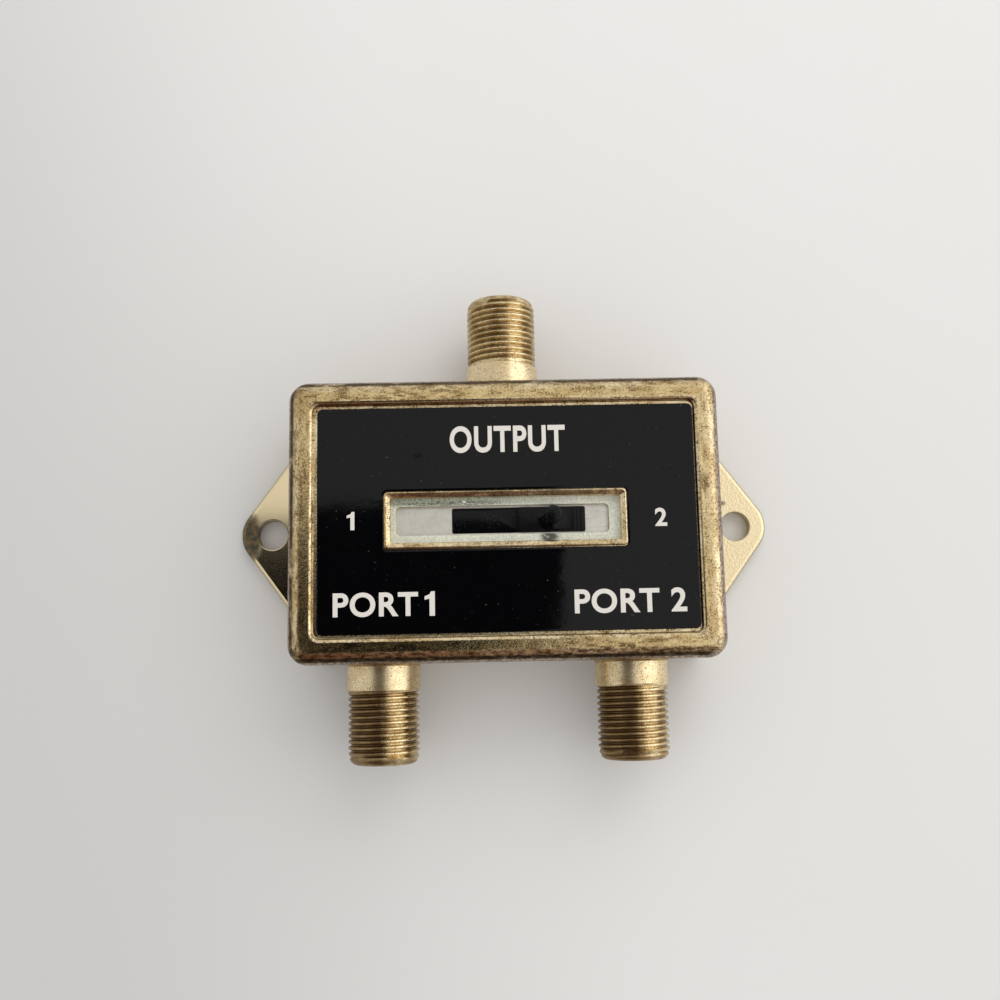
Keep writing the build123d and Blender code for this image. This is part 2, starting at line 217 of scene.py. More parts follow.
def patch(tree: Tree, place: Socket, mark: Mark) -> Socket:
    """Make a soft-edged oval mask over one place of the object, seen from above.

    Args:
        tree: the material's tree.
        place: coordinates in millimetres.
        mark: the place.
    Returns:
        The mask, from 0 to 1.
    """
    away = add_node(tree, "ShaderNodeVectorMath", {0: place, 1: (*mark.middle, 0.0)},
                    operation="SUBTRACT").outputs[0]
    flat = add_node(tree, "ShaderNodeVectorMath", {0: away, 1: (1 / mark.reach[0], 1 / mark.reach[1], 0.0)},
                    operation="MULTIPLY").outputs[0]
    far = add_node(tree, "ShaderNodeVectorMath", {0: flat}, operation="LENGTH").outputs["Value"]
    return ramp(tree, far, 1.0, 1.0 - mark.soft)


def laid_over(tree: Tree, ground: Any, layers: Iterable[tuple[Any, Any]]) -> Any:
    """Lay colours or numbers over a ground, each through its own mask.

    Args:
        tree: the material's tree.
        ground: a colour, a number or an output.
        layers: pairs of a mask and what shows where the mask is full.
    Returns:
        The output of the top layer.
    """
    for mask, top in layers:
        coloured = isinstance(top, Tint)
        slots = (6, 7, 2) if coloured else (2, 3, 0)
        mix = add_node(tree, "ShaderNodeMix", {0: mask, slots[0]: ground, slots[1]: top},
                       data_type="RGBA" if coloured else "FLOAT")
        ground = mix.outputs[slots[2]]
    return ground


def times(tree: Tree, *factors: Any) -> Socket:
    """Multiply masks and strengths together.

    Args:
        tree: the tree.
        factors: two or more outputs or numbers.
    Returns:
        Their product.
    """
    product = factors[0]
    for factor in factors[1:]:
        product = add_node(tree, "ShaderNodeMath", {0: product, 1: factor}, operation="MULTIPLY").outputs[0]
    return product


class Finish:
    """A finish of the object: a node material named for its real material and making."""

    name: str

    def shade(self, tree: Tree) -> bpy.types.Node:
        """Add the finish's nodes.

        Args:
            tree: the material's empty tree.
        Returns:
            The surface shader.
        """
        raise NotImplementedError

    def surface(self, tree: Tree, colour: Any, roughness: Any, relief: tuple[Any, float, float],
                more: dict[str, Any] | None = None) -> bpy.types.Node:
        """Add the surface shader with the fine relief of its skin.

        Args:
            tree: the material's tree.
            colour: the base colour.
            roughness: the roughness.
            relief: the height that the skin follows, its strength and its depth in millimetres.
            more: values for the shader's other inputs.
        Returns:
            The surface shader.
        """
        height, strength, depth = relief
        normal = add_node(tree, "ShaderNodeBump", {
            "Height": height, "Strength": strength, "Distance": depth * MM}).outputs[0]
        return add_node(tree, "ShaderNodeBsdfPrincipled", {
            "Base Color": colour, "Roughness": roughness, "Normal": normal, **(more or {})})

    def material(self) -> bpy.types.Material:
        """Return the finish as a Blender material, made when it is first asked for."""
        found = bpy.data.materials.get(self.name)
        if found is not None:
            return found
        made = bpy.data.materials.new(self.name)
        made.use_nodes = True
        made.node_tree.nodes.clear()
        shader = self.shade(made.node_tree)
        add_node(made.node_tree, "ShaderNodeOutputMaterial", {"Surface": shader.outputs[0]})
        return made


@dataclass(frozen=True)
class WornPlatedCasting(Finish):
    """Zinc die casting, barrel polished and thinly gold plated, then worn and tarnished.

    The plating is a pale mirror broken by fine casting pits. Brown tarnish sits in strokes
    along the rim, and the outermost edge has rubbed through to grey zinc. A broken dark line on
    the crown's steep outer part is a painted dark reflection. Pits, grit and grain are drawn
    coarser than real, so that they show in a picture of the whole box.

    The case's UV map "rim" gives the place along a side and the inset from the outer wall,
    which falls below 0 down the wall. The fades without another word are levels of the inset.
    """

    name: str = "zinc_die_casting_gold_plated_worn"
    # Bare zinc along the outermost edge, wider on the right, with its frayed inner border
    strip_width: float = 0.34
    strip_right: float = 0.75
    strip_soft: float = 0.12
    strip_foot: Fade = (-1.3, -0.2)
    fray_depth: float = 0.22
    fray: Speckle = Speckle(0.5, 0.3, 0.7, 4.0, 0.7)
    flakes: Speckle = Speckle(0.4, 0.47, 0.55, 3.0, 0.6)
    # Painted dark reflection: a broken dark line inside the strip, on the crown's steep part; and dirt at the
    # foot of the bevel
    dark_reflection_begins: Fade = (0.3, 0.42)
    dark_reflection_ends: Fade = (0.96, 0.68)
    dark_reflection_breaks: Speckle = Speckle(1.6, 0.3, 0.46)
    dirt_begins: Fade = (3.33, 3.38)
    dirt_ends: Fade = (3.49, 3.43)
    dirt_breaks: Speckle = Speckle(1.2, 0.32, 0.5)
    # Tarnish, stains and rubbing over the rim
    flat_begins: Fade = (1.2, 1.9)
    flat_ends: Fade = (3.0, 2.6)
    wall: Fade = (-0.3, -2.5)
    crown: Fade = (1.7, 1.2)
    rubbed_crown: Fade = (1.6, 0.8)
    streaked_crown: Fade = (1.9, 1.3)
    grit: Speckle = Speckle(0.2, 0.5, 0.58, 2.0, 0.5)
    grit_fields: Speckle = Speckle(1.0, 0.42, 0.6)
    grain: Speckle = Speckle(0.4, 0.42, 0.66, 4.0, 0.75)
    patches: Speckle = Speckle(2.4, 0.4, 0.62)
    stains: Speckle = Speckle(1.0, 0.48, 0.64, 4.0, 0.62)
    strokes: Speckle = Speckle(0.8, 0.54, 0.62, 4.0, 0.7)
    stroke_breaks: Speckle = Speckle(0.3, 0.36, 0.56, 4.0, 0.65)
    streaks: Speckle = Speckle(0.5, 0.44, 0.6, 4.0, 0.7)
    rubs: Speckle = Speckle(0.9, 0.34, 0.6, 4.0, 0.65)
    corner_stains: Speckle = Speckle(1.2, 0.3, 0.6, 4.0, 0.7)
    lip_breaks: Speckle = Speckle(1.4, 0.3, 0.55)
    rust_breaks: Speckle = Speckle(0.5, 0.4, 0.56, 4.0, 0.7)
    mottle: Speckle = Speckle(0.7, 0.36, 0.6, 4.0, 0.6)
    # Sides and corners of the case along X and Y, and the top edge of an ear along Z
    right_x: Fade = (25.6, 26.4)
    bottom_y: Fade = (-15.4, -16.6)
    corner_x: Fade = (23.5, 27.8)
    corner_y: Fade = (13.0, 17.8)
    corner_left: Fade = (10.0, -20.0)
    ear_edge_z: Fade = (1.97, 1.78)
    # Places seen in the photograph
    worn_least: float = 0.35
    worn_places: tuple[tuple[Mark, float], ...] = (
        (Mark((-17.0, 17.5), (17.0, 3.2), 0.4), 1.0), (Mark((16.0, 17.9), (12.0, 2.0), 0.4), 0.8),
        (Mark((13.0, -17.3), (12.0, 2.8), 0.4), 1.0), (Mark((-27.0, -2.0), (2.6, 17.0), 0.4), 0.8))
    window_smear: Mark = Mark((5.9, -3.1), (1.4, 0.25))
    lip_foot: Mark = Mark((0.0, 3.2), (17.0, 0.5), 0.3)
    ear_tip: Mark = Mark((-37.0, -0.4), (2.6, 4.4), 0.4)
    ear_smudge: Mark = Mark((31.7, 3.4), (0.7, 0.55), 0.8)
    wall_rust: Mark = Mark((26.1, 4.1), (1.0, 1.7), 0.7)
    left_hole: Mark = Mark((-33.35, 0.0), (2.24, 2.24), 0.03)
    right_hole: Mark = Mark((33.35, 0.0), (2.24, 2.24), 0.03)
    # Each layer of the finish, from the lowest up: its mask, how strong it is, and what it shows
    tints: tuple[tuple[str, float, Tint], ...] = (
        ("flat", 0.75, Tint.RIM_GOLD), ("patches", 0.6, Tint.DEEP_GOLD), ("grain", 0.4, Tint.BROWN_TARNISH_AND_SHADE),
        ("rubbed", 0.35, Tint.BROWN_TARNISH_AND_SHADE), ("stains", 0.6, Tint.BROWN_TARNISH_AND_SHADE),
        ("calm_specks", 0.75, Tint.BROWN_TARNISH_AND_SHADE), ("strokes", 0.85, Tint.BROWN_TARNISH_AND_SHADE),
        ("rust", 0.8, Tint.BROWN_TARNISH_AND_SHADE), ("corner", 0.6, Tint.BROWN_TARNISH_AND_SHADE),
        ("streaks", 0.7, Tint.DARK_TARNISH_AND_REFLECTION), ("ear_edge", 0.45, Tint.EAR_VERDIGRIS),
        ("strip", 0.85, Tint.BARE_ZINC), ("flakes", 0.8, Tint.BROWN_TARNISH_AND_SHADE),
        # The line layer is a painted dark reflection on the crown
        ("line", 0.85, Tint.DARK_TARNISH_AND_REFLECTION), ("dirt", 0.4, Tint.DARK_TARNISH_AND_REFLECTION),
        ("lip_dirt", 0.5, Tint.DARK_TARNISH_AND_REFLECTION), ("tip", 0.85, Tint.BROWN_TARNISH_AND_SHADE),
        ("tip_mottle", 0.8, Tint.EAR_VERDIGRIS), ("holes", 0.15, Tint.BROWN_TARNISH_AND_SHADE),
        ("left_hole", 0.5, Tint.BROWN_TARNISH_AND_SHADE), ("smudge", 0.7, Tint.DARK_TARNISH_AND_REFLECTION),
        ("smear", 0.95, Tint.DARK_TARNISH_AND_REFLECTION))
    roughness: tuple[tuple[str, float, float], ...] = (
        ("off_ear", 1.0, 0.13), ("patches", 1.0, 0.18), ("stains", 1.0, 0.26), ("specks", 1.0, 0.34),
        ("strokes", 1.0, 0.4), ("corner", 1.0, 0.35), ("strip", 1.0, 0.3), ("line", 0.85, 0.4),
        ("on_wall", 1.0, 0.24), ("tip", 1.0, 0.4), ("holes", 1.0, 0.4), ("smear", 1.0, 0.6))
    pitting: tuple[tuple[str, float, float], ...] = (
        ("off_ear", 1.0, 0.55), ("on_wall", 1.0, 0.2), ("strip", 1.0, 1.8), ("right_crown", 1.0, 1.5))

    def rim_masks(self, tree: Tree, place: Socket, along: Socket, inset: Socket) -> dict[str, Socket]:
        """Make the masks of the edge, the rim and the walls, which all leave the ears out.

        Args:
            tree: the material's tree.
            place: coordinates in millimetres.
            along: the rim's coordinates, stretched along the sides.
            inset: the inset from the outer wall.
        Returns:
            The masks by name.
        """
        x, y, _ = add_node(tree, "ShaderNodeSeparateXYZ", {0: place}).outputs
        far_x, far_y = [add_node(tree, "ShaderNodeMath", {0: side}, operation="ABSOLUTE").outputs[0]
                        for side in (x, y)]
        off_ear = ramp(tree, inset, *OFF_EAR)
        right = ramp(tree, x, *self.right_x)
        not_right = ramp(tree, x, *reversed(self.right_x))
        reach = add_node(tree, "ShaderNodeMath", {
            0: times(tree, spots(tree, place, self.fray), self.fray_depth),
            1: times(tree, right, self.strip_right - self.strip_width)}, operation="ADD").outputs[0]
        frayed = add_node(tree, "ShaderNodeMath", {0: reach, 1: inset}, operation="SUBTRACT").outputs[0]
        strip = times(tree, ramp(tree, frayed, -self.strip_width, self.strip_soft - self.strip_width),
                      ramp(tree, inset, *self.strip_foot), off_ear)
        on_wall = times(tree, ramp(tree, inset, *self.wall), off_ear)
        calm = laid_over(tree, 1.0, ((on_wall, 0.3),))
        worn = laid_over(tree, self.worn_least, [
            (patch(tree, place, mark), share) for mark, share in self.worn_places])
        specks = times(tree, spots(tree, place, self.grit), spots(tree, along, self.grit_fields), off_ear)
        return {
            "off_ear": off_ear, "on_wall": on_wall, "strip": strip, "specks": specks,
            "calm_specks": times(tree, specks, calm),
            "right_crown": times(tree, right, ramp(tree, inset, *self.crown)),
            "flakes": times(tree, strip, spots(tree, place, self.flakes)),
            # Painted dark reflection: a broken dark line on the crown's steep outer part, left out on the right
            "line": times(tree, ramp(tree, inset, *self.dark_reflection_begins), ramp(tree, inset, *self.dark_reflection_ends),
                          spots(tree, along, self.dark_reflection_breaks), not_right),
            "dirt": times(tree, ramp(tree, inset, *self.dirt_begins), ramp(tree, inset, *self.dirt_ends),
                          spots(tree, along, self.dirt_breaks), not_right),
            "flat": times(tree, ramp(tree, inset, *self.flat_begins), ramp(tree, inset, *self.flat_ends),
                          off_ear, laid_over(tree, 1.0, ((right, 0.5),))),
            "grain": times(tree, spots(tree, place, self.grain), off_ear, calm),
            "patches": times(tree, spots(tree, along, self.patches), off_ear),
            "stains": times(tree, spots(tree, along, self.stains), worn, off_ear),
            "strokes": times(tree, spots(tree, along, self.strokes), spots(tree, place, self.stroke_breaks),
                             worn, off_ear),
            "streaks": times(tree, ramp(tree, y, *self.bottom_y), ramp(tree, inset, *self.streaked_crown),
                             spots(tree, along, self.streaks), off_ear),
            "rubbed": times(tree, ramp(tree, inset, *self.rubbed_crown), spots(tree, along, self.rubs), off_ear),
            "corner": times(tree, ramp(tree, far_x, *self.corner_x), ramp(tree, x, *self.corner_left),
                            ramp(tree, far_y, *self.corner_y), spots(tree, place, self.corner_stains), off_ear),
            "rust": times(tree, patch(tree, place, self.wall_rust),
                          spots(tree, place, self.rust_breaks), off_ear),
            "smear": patch(tree, place, self.window_smear),
            "lip_dirt": times(tree, patch(tree, place, self.lip_foot), spots(tree, along, self.lip_breaks))}

    def ear_masks(self, tree: Tree, place: Socket, inset: Socket) -> dict[str, Socket]:
        """Make the masks of the ears.

        Args:
            tree: the material's tree.
            place: coordinates in millimetres.
            inset: the inset from the outer wall, which is EAR_INSET on an ear.
        Returns:
            The masks by name.
        """
        on_ear = ramp(tree, inset, *reversed(OFF_EAR))
        height = add_node(tree, "ShaderNodeSeparateXYZ", {0: place}).outputs[2]
        tip = times(tree, patch(tree, place, self.ear_tip), on_ear)
        left_hole = patch(tree, place, self.left_hole)
        both_holes = laid_over(tree, left_hole, ((patch(tree, place, self.right_hole), 1.0),))
        return {
            "tip": tip, "tip_mottle": times(tree, tip, spots(tree, place, self.mottle)),
            "ear_edge": times(tree, ramp(tree, height, *self.ear_edge_z), on_ear),
            "smudge": times(tree, patch(tree, place, self.ear_smudge), on_ear),
            "left_hole": times(tree, left_hole, on_ear), "holes": times(tree, both_holes, on_ear)}

    def shade(self, tree: Tree) -> bpy.types.Node:
        """Add the finish's nodes.

        Args:
            tree: the material's empty tree.
        Returns:
            The surface shader.
        """
        place = place_in_mm(tree)
        rim = add_node(tree, "ShaderNodeUVMap", uv_map="rim").outputs["UV"]
        along = add_node(tree, "ShaderNodeVectorMath", {0: rim, 1: (0.45, 1.4, 1.0)},
                         operation="MULTIPLY").outputs[0]
        inset = add_node(tree, "ShaderNodeSeparateXYZ", {0: rim}).outputs[1]
        masks = self.rim_masks(tree, place, along, inset) | self.ear_masks(tree, place, inset)

        def layered(ground: Any, layers: Iterable[tuple[str, float, Any]]) -> Any:
            """Lay the named masks over a ground."""
            return laid_over(tree, ground, [
                (times(tree, masks[name], share), top) for name, share, top in layers])

        pits = add_node(tree, "ShaderNodeTexNoise", {
            "Vector": place, "Scale": 1 / self.grain.size, "Detail": 4.0, "Roughness": 0.72}).outputs["Fac"]
        height = times(tree, pits, layered(0.02, self.pitting))
        return self.surface(tree, layered(Tint.PALE_GOLD, self.tints), layered(0.12, self.roughness),
                            (height, 1.0, 0.05), {"Metallic": laid_over(tree, 1.0, ((masks["holes"], 0.0),))})


@dataclass(frozen=True)
class WindowFloorPlating(Finish):
    """The bottom of the window: zinc casting left with a thin, dull nickel flash.

    It is pale grey-green and finely grained, because the polishing never reached it. The grain
    and the crumbs of dirt are drawn coarser than real, so that they show.
    """

    name: str = "zinc_die_casting_nickel_flashed_dull"
    grain: Speckle = Speckle(0.22, 0.4, 0.62, 3.0, 0.6)
    cloud: Speckle = Speckle(3.5, 0.4, 0.62)
    dirt: Speckle = Speckle(0.25, 0.48, 0.58)
    crumbs: Speckle = Speckle(0.2, 0.44, 0.56)
    crumb_line: Mark = Mark((-7.0, 2.1), (8.4, 0.4), 0.4)
    smear: Mark = Mark((5.7, -2.5), (1.6, 0.9), 0.6)
    smear_breaks: Speckle = Speckle(0.6, 0.3, 0.5, 4.0, 0.7)
    fleck: Mark = Mark((-5.4, 2.3), (0.3, 0.22))
    upper_y: Fade = (1.5, 2.3)
    left_x: Fade = (8.0, -6.0)

    def shade(self, tree: Tree) -> bpy.types.Node:
        """Add the finish's nodes.

        Args:
            tree: the material's empty tree.
        Returns:
            The surface shader.
        """
        place = place_in_mm(tree)
        x, y, _ = add_node(tree, "ShaderNodeSeparateXYZ", {0: place}).outputs
        fine = spots(tree, place, self.grain)
        upper_left = times(tree, ramp(tree, y, *self.upper_y), ramp(tree, x, *self.left_x))
        crumbs = times(tree, patch(tree, place, self.crumb_line),
                       spots(tree, place_in_mm(tree, (0.4, 1.0, 1.0)), self.crumbs))
        smear = times(tree, patch(tree, place, self.smear), spots(tree, place, self.smear_breaks))
        colour = laid_over(tree, Tint.WINDOW_GREY, (
            (times(tree, fine, 0.45), Tint.WINDOW_GREEN),
            (times(tree, spots(tree, place, self.cloud), 0.15), Tint.WINDOW_GREEN),
            (times(tree, upper_left, 0.75), Tint.WINDOW_GREEN),
            (times(tree, upper_left, spots(tree, place, self.dirt), 0.5), Tint.WINDOW_DIRT),
            (times(tree, crumbs, 0.6), Tint.WINDOW_DIRT), (times(tree, smear, 0.9), Tint.WINDOW_DIRT),
            (patch(tree, place, self.fleck), Tint.ROOM_LIGHT)))
        return self.surface(tree, colour, 0.48, (fine, 0.6, 0.04), {"Metallic": 0.1})


@dataclass(frozen=True)
class TurnedPlatedBrass(Finish):
    """Turned brass with a thin gold plating, cut to a sharp thread and satin on the shoulder.

    The plating mirrors the room in long bands. Light that bounces between the thread's flanks
    turns brown by itself, and a little tarnish darkens the roots. A paler band on the side that
    faces +X is a painted highlight, and the brown over the left side of the lower connectors'
    threads is painted shade. The specks are drawn coarser than real, so that they show.

    It reads the barrel's attributes: groove is the thread's depth as a share, threaded is 1
    past the shoulder, axial is the distance from the case and radial points out of the axis.
    """

    name: str = "turned_brass_gold_plated_tarnished"
    speck: Speckle = Speckle(0.16, 0.54, 0.64, 2.0, 0.5)
    cloud: Speckle = Speckle(1.8, 0.42, 0.62)
    lip_breaks: Speckle = Speckle(1.4, 0.34, 0.56)
    lip_axial: Fade = (11.9, 12.8)
    end_axial: Fade = (11.8, 12.3)
    root_depth: Fade = (0.4, 1.0)
    # Painted shade: where the lower connectors' threads are painted brown on their left side
    painted_shade_aside: Fade = (0.12, -0.06)
    painted_shade_y: Fade = (0.0, -10.0)
    # Painted highlight: the band on the side facing +X where the thread's darker layers are weakened
    highlight_band_begins: Fade = (0.1, 0.3)
    highlight_band_ends: Fade = (0.75, 0.6)

    def shade(self, tree: Tree) -> bpy.types.Node:
        """Add the finish's nodes.

        Args:
            tree: the material's empty tree.
        Returns:
            The surface shader.
        """
        place = place_in_mm(tree)
        depth, threaded, axial = [add_node(tree, "ShaderNodeAttribute", attribute_name=name).outputs["Fac"]
                                  for name in ("groove", "threaded", "axial")]
        radial = add_node(tree, "ShaderNodeAttribute", attribute_name="radial").outputs["Vector"]
        aside = add_node(tree, "ShaderNodeSeparateXYZ", {0: radial}).outputs[0]
        forward = add_node(tree, "ShaderNodeSeparateXYZ", {0: place}).outputs[1]
        speck, cloud = spots(tree, place, self.speck), spots(tree, place, self.cloud)
        # Painted shade: brown over the left side of the lower connectors' threads
        left_painted_shade = times(tree, ramp(tree, aside, *self.painted_shade_aside), ramp(tree, forward, *self.painted_shade_y),
                        threaded)
        lip = times(tree, ramp(tree, axial, *self.lip_axial), spots(tree, place, self.lip_breaks))
        # Painted highlight: a paler band on the side facing +X; shaded is the rest, where the darker layers show
        # in full
        pale = times(tree, ramp(tree, aside, *self.highlight_band_begins), ramp(tree, aside, *self.highlight_band_ends))
        shaded = laid_over(tree, 1.0, ((pale, 0.35),))
        colour = laid_over(tree, Tint.PALE_GOLD, (
            (times(tree, threaded, shaded, 0.9), Tint.TURNED_GOLD),
            (times(tree, cloud, 0.35), Tint.DEEP_GOLD),
            (times(tree, cloud, threaded, shaded, 0.4), Tint.BROWN_TARNISH_AND_SHADE),
            # Painted shade over the left side of the lower threads
            (times(tree, left_painted_shade, 0.65), Tint.BROWN_TARNISH_AND_SHADE),
            (times(tree, ramp(tree, depth, *self.root_depth), shaded, 0.65), Tint.THREAD_BROWN),
            (times(tree, lip, 0.55), Tint.BROWN_TARNISH_AND_SHADE), (times(tree, speck, 0.65), Tint.BROWN_TARNISH_AND_SHADE)))
        roughness = laid_over(tree, 0.3, (
            (threaded, 0.18), (left_painted_shade, 0.36), (ramp(tree, axial, *self.end_axial), 0.36),
            (times(tree, speck, 0.8), 0.38)))
        return self.surface(tree, colour, roughness, (speck, 0.25, 0.02), {"Metallic": 1.0})


@dataclass(frozen=True)
class LabelLacquer(Finish):
    """Printed plastic film with a gloss lacquer: a near-black mirror with faint waves and dust."""

    name: str = "printed_film_gloss_lacquered_black"
    dust: Speckle = Speckle(0.3, 0.73, 0.78, 2.0)
    film: Speckle = Speckle(6.0, 0.4, 0.65)
    wave_length: float = 4.0
    blot: Mark = Mark((-11.3, 8.45), (0.75, 0.35), 0.4)

    def shade(self, tree: Tree) -> bpy.types.Node:
        """Add the finish's nodes.

        Args:
            tree: the material's empty tree.
        Returns:
            The surface shader.
        """
        place = place_in_mm(tree)
        dust = times(tree, spots(tree, place, self.dust), 0.4)
        blot = patch(tree, place, self.blot)
        waves = add_node(tree, "ShaderNodeTexNoise", {
            "Vector": place, "Scale": 1 / self.wave_length, "Detail": 3.0, "Roughness": 0.45}).outputs["Fac"]
        roughness = laid_over(tree, 0.05, ((spots(tree, place, self.film), 0.08), (dust, 0.6), (blot, 0.7)))
        return self.surface(tree, laid_over(tree, Tint.LABEL_BLACK, ((dust, Tint.LABEL_DUST),)), roughness,
                            (laid_over(tree, waves, ((blot, 0.9),)), 0.3, 0.06),
                            {"IOR": 1.45, "Specular IOR Level": 0.28})


@dataclass(frozen=True)
class ScreenInk(Finish):
    """Screen-printed white ink, slightly raised and satin, with pinholes drawn coarser than real."""

    name: str = "screen_print_ink_white"
    pinholes: Speckle = Speckle(0.16, 0.66, 0.74, 2.0)

    def shade(self, tree: Tree) -> bpy.types.Node:
        """Add the finish's nodes.

        Args:
            tree: the material's empty tree.
        Returns:
            The surface shader.
        """
        pinholes = times(tree, spots(tree, place_in_mm(tree), self.pinholes), 0.5)
        return add_node(tree, "ShaderNodeBsdfPrincipled", {
            "Base Color": laid_over(tree, Tint.INK_WHITE, ((pinholes, Tint.LABEL_DUST),)),
            "Roughness": 0.45, "IOR": 1.5})


@dataclass(frozen=True)
class MouldedNylon(Finish):
    """Injection-moulded black nylon: satin, with pale dust caught on it.

    The dust and the mould's grain are drawn coarser than real, so that they show. Fingers have
    polished the nub.
    """

    name: str = "nylon_moulded_black"
    dust: Speckle = Speckle(0.16, 0.64, 0.7, 2.0)
    dust_fields: Speckle = Speckle(2.0, 0.4, 0.55)
    grain: float = 0.2
    block_x: Fade = (1.75, 1.85)
    nub: Mark = Mark((6.1, 0.0), (1.9, 1.9), 0.1)

    def shade(self, tree: Tree) -> bpy.types.Node:
        """Add the finish's nodes.

        Args:
            tree: the material's empty tree.
        Returns:
            The surface shader.
        """
        place = place_in_mm(tree)
        dust = times(tree, spots(tree, place, self.dust), spots(tree, place, self.dust_fields), 0.4)
        grain = add_node(tree, "ShaderNodeTexNoise", {
            "Vector": place, "Scale": 1 / self.grain, "Detail": 3.0}).outputs["Fac"]
        block = ramp(tree, add_node(tree, "ShaderNodeSeparateXYZ", {0: place}).outputs[0], *self.block_x)
        roughness = laid_over(tree, 0.14, (
            (times(tree, grain, 0.6), 0.26), (block, 0.32), (patch(tree, place, self.nub), 0.1), (dust, 0.8)))
        return self.surface(tree, laid_over(tree, Tint.NYLON_BLACK, ((dust, Tint.NYLON_DUST),)), roughness,
                            (grain, 0.25, 0.02), {"IOR": 1.53, "Specular IOR Level": 0.2})


@dataclass(frozen=True)
class StampedSteel(Finish):
    """Stamped steel with a dull nickel plating: whitish, with rubbed scratches.

    Its specks and scratches are drawn coarser than real, so that they show.
    """

    name: str = "sheet_steel_nickel_plated_dull"
    lines: Speckle = Speckle(1.0, 0.6, 0.68, 4.0)
    specks: Speckle = Speckle(0.3, 0.66, 0.72)
    haze: Speckle = Speckle(1.5, 0.4, 0.62)

    def shade(self, tree: Tree) -> bpy.types.Node:
        """Add the finish's nodes.

        Args:
            tree: the material's empty tree.
        Returns:
            The surface shader.
        """
        place = place_in_mm(tree)
        lines = spots(tree, place_in_mm(tree, (0.25, 5.0, 1.0)), self.lines)
        specks = spots(tree, place, self.specks)
        colour = laid_over(tree, Tint.PLATE_WHITE, (
            (times(tree, spots(tree, place, self.haze), 0.5), Tint.WORN_NICKEL),
            (times(tree, lines, 0.25), Tint.PLATE_SCRATCH), (times(tree, specks, 0.6), Tint.PLATE_SCRATCH)))
        return self.surface(tree, colour, 0.4, (specks, 0.2, 0.02), {"Metallic": 0.45})


@dataclass(frozen=True)
class PlainMetal(Finish):
    """A drawn, stamped or rolled metal with a slight haze of handling over it."""

    name: str
    ground: Tint
    haze: Tint
    roughness: float = 0.25
    grain: float = 0.6

    def shade(self, tree: Tree) -> bpy.types.Node:
        """Add the finish's nodes.

        Args:
            tree: the material's empty tree.
        Returns:
            The surface shader.
        """
        cloud = spots(tree, place_in_mm(tree), Speckle(self.grain, 0.4, 0.68, 4.0))
        lines = spots(tree, place_in_mm(tree, (4.0, 0.4, 4.0)), Speckle(self.grain, 0.45, 0.7))
        colour = laid_over(tree, self.ground, ((times(tree, cloud, 0.5), self.haze),))
        roughness = laid_over(tree, self.roughness, ((cloud, self.roughness + 0.15),))
        return self.surface(tree, colour, roughness, (lines, 0.15, 0.02), {"Metallic": 1.0})


@dataclass(frozen=True)
class PlainPlastic(Finish):
    """A moulded or pressed plastic with a slight mottle."""

    name: str
    ground: Tint
    mottle: Tint
    roughness: float = 0.4
    grain: float = 0.5

    def shade(self, tree: Tree) -> bpy.types.Node:
        """Add the finish's nodes.

        Args:
            tree: the material's empty tree.
        Returns:
            The surface shader.
        """
        cloud = spots(tree, place_in_mm(tree), Speckle(self.grain, 0.4, 0.68, 4.0))
        colour = laid_over(tree, self.ground, ((times(tree, cloud, 0.3), self.mottle),))
        roughness = laid_over(tree, self.roughness, ((cloud, self.roughness + 0.1),))
        return self.surface(tree, colour, roughness, (cloud, 0.1, 0.02), {"IOR": 1.5})


@dataclass(frozen=True)
class TableLaminate(Finish):
    """Laminate board, matt: nearly white, with painted shade that darkens it towards the left."""

    name: str = "table_laminate_matt"
    mottle: Speckle = Speckle(40.0, 0.3, 0.7, 2.0)
    slant: tuple[float, float, float] = (0.95, 0.3, 0.0)
    # Painted shade: where the table darkens towards the left
    left: Fade = (10.0, -80.0)

    def shade(self, tree: Tree) -> bpy.types.Node:
        """Add the finish's nodes.

        Args:
            tree: the material's empty tree.
        Returns:
            The surface shader.
        """
        place = place_in_mm(tree)
        across = add_node(tree, "ShaderNodeVectorMath", {0: place, 1: self.slant}, operation="DOT_PRODUCT")
        return add_node(tree, "ShaderNodeBsdfPrincipled", {
            "Base Color": laid_over(tree, Tint.TABLE, (
                (times(tree, spots(tree, place, self.mottle), 0.08), Tint.PLATE_WHITE),
                (ramp(tree, across.outputs["Value"], *self.left), Tint.TABLE_PAINTED_SHADE))),
            "Roughness": 0.7, "Specular IOR Level": 0.2})


@dataclass(frozen=True)
class BlackCard(Finish):
    """Paper card, dyed black and matt: the dark flag that the polished faces mirror."""

    name: str = "flag_black_card"

    def shade(self, tree: Tree) -> bpy.types.Node:
        """Add the card's only shader."""
        return add_node(tree, "ShaderNodeBsdfDiffuse", {"Color": Tint.FLAG})


CASTING = WornPlatedCasting()
WINDOW_FLOOR = WindowFloorPlating()
TURNED_GOLD = TurnedPlatedBrass()
LACQUER = LabelLacquer()
INK = ScreenInk()
NYLON = MouldedNylon()
NICKELLED = StampedSteel()
# Stamped steel cover under the same thin gold plating as the case: smoother than the casting
COVER_PLATING = PlainMetal("sheet_steel_gold_plated_stamped", Tint.COVER_GOLD, Tint.DEEP_GOLD, 0.2, 2.0)
# Polyethylene, moulded: waxy ivory with soft edges of light
IVORY = PlainPlastic("polyethylene_moulded_ivory", Tint.INSULATOR_IVORY, Tint.PLATE_WHITE, 0.35)
# Phosphor bronze strip, rolled: warm, slightly satin
BRONZE = PlainMetal("phosphor_bronze_rolled", Tint.BRONZE, Tint.BROWN_TARNISH_AND_SHADE, 0.22)
# Paper phenolic board, pressed: brown, with a fine paper mottle
BOARD = PlainPlastic("paper_phenolic_pressed", Tint.PHENOLIC, Tint.DARK_TARNISH_AND_REFLECTION, 0.45, 0.3)
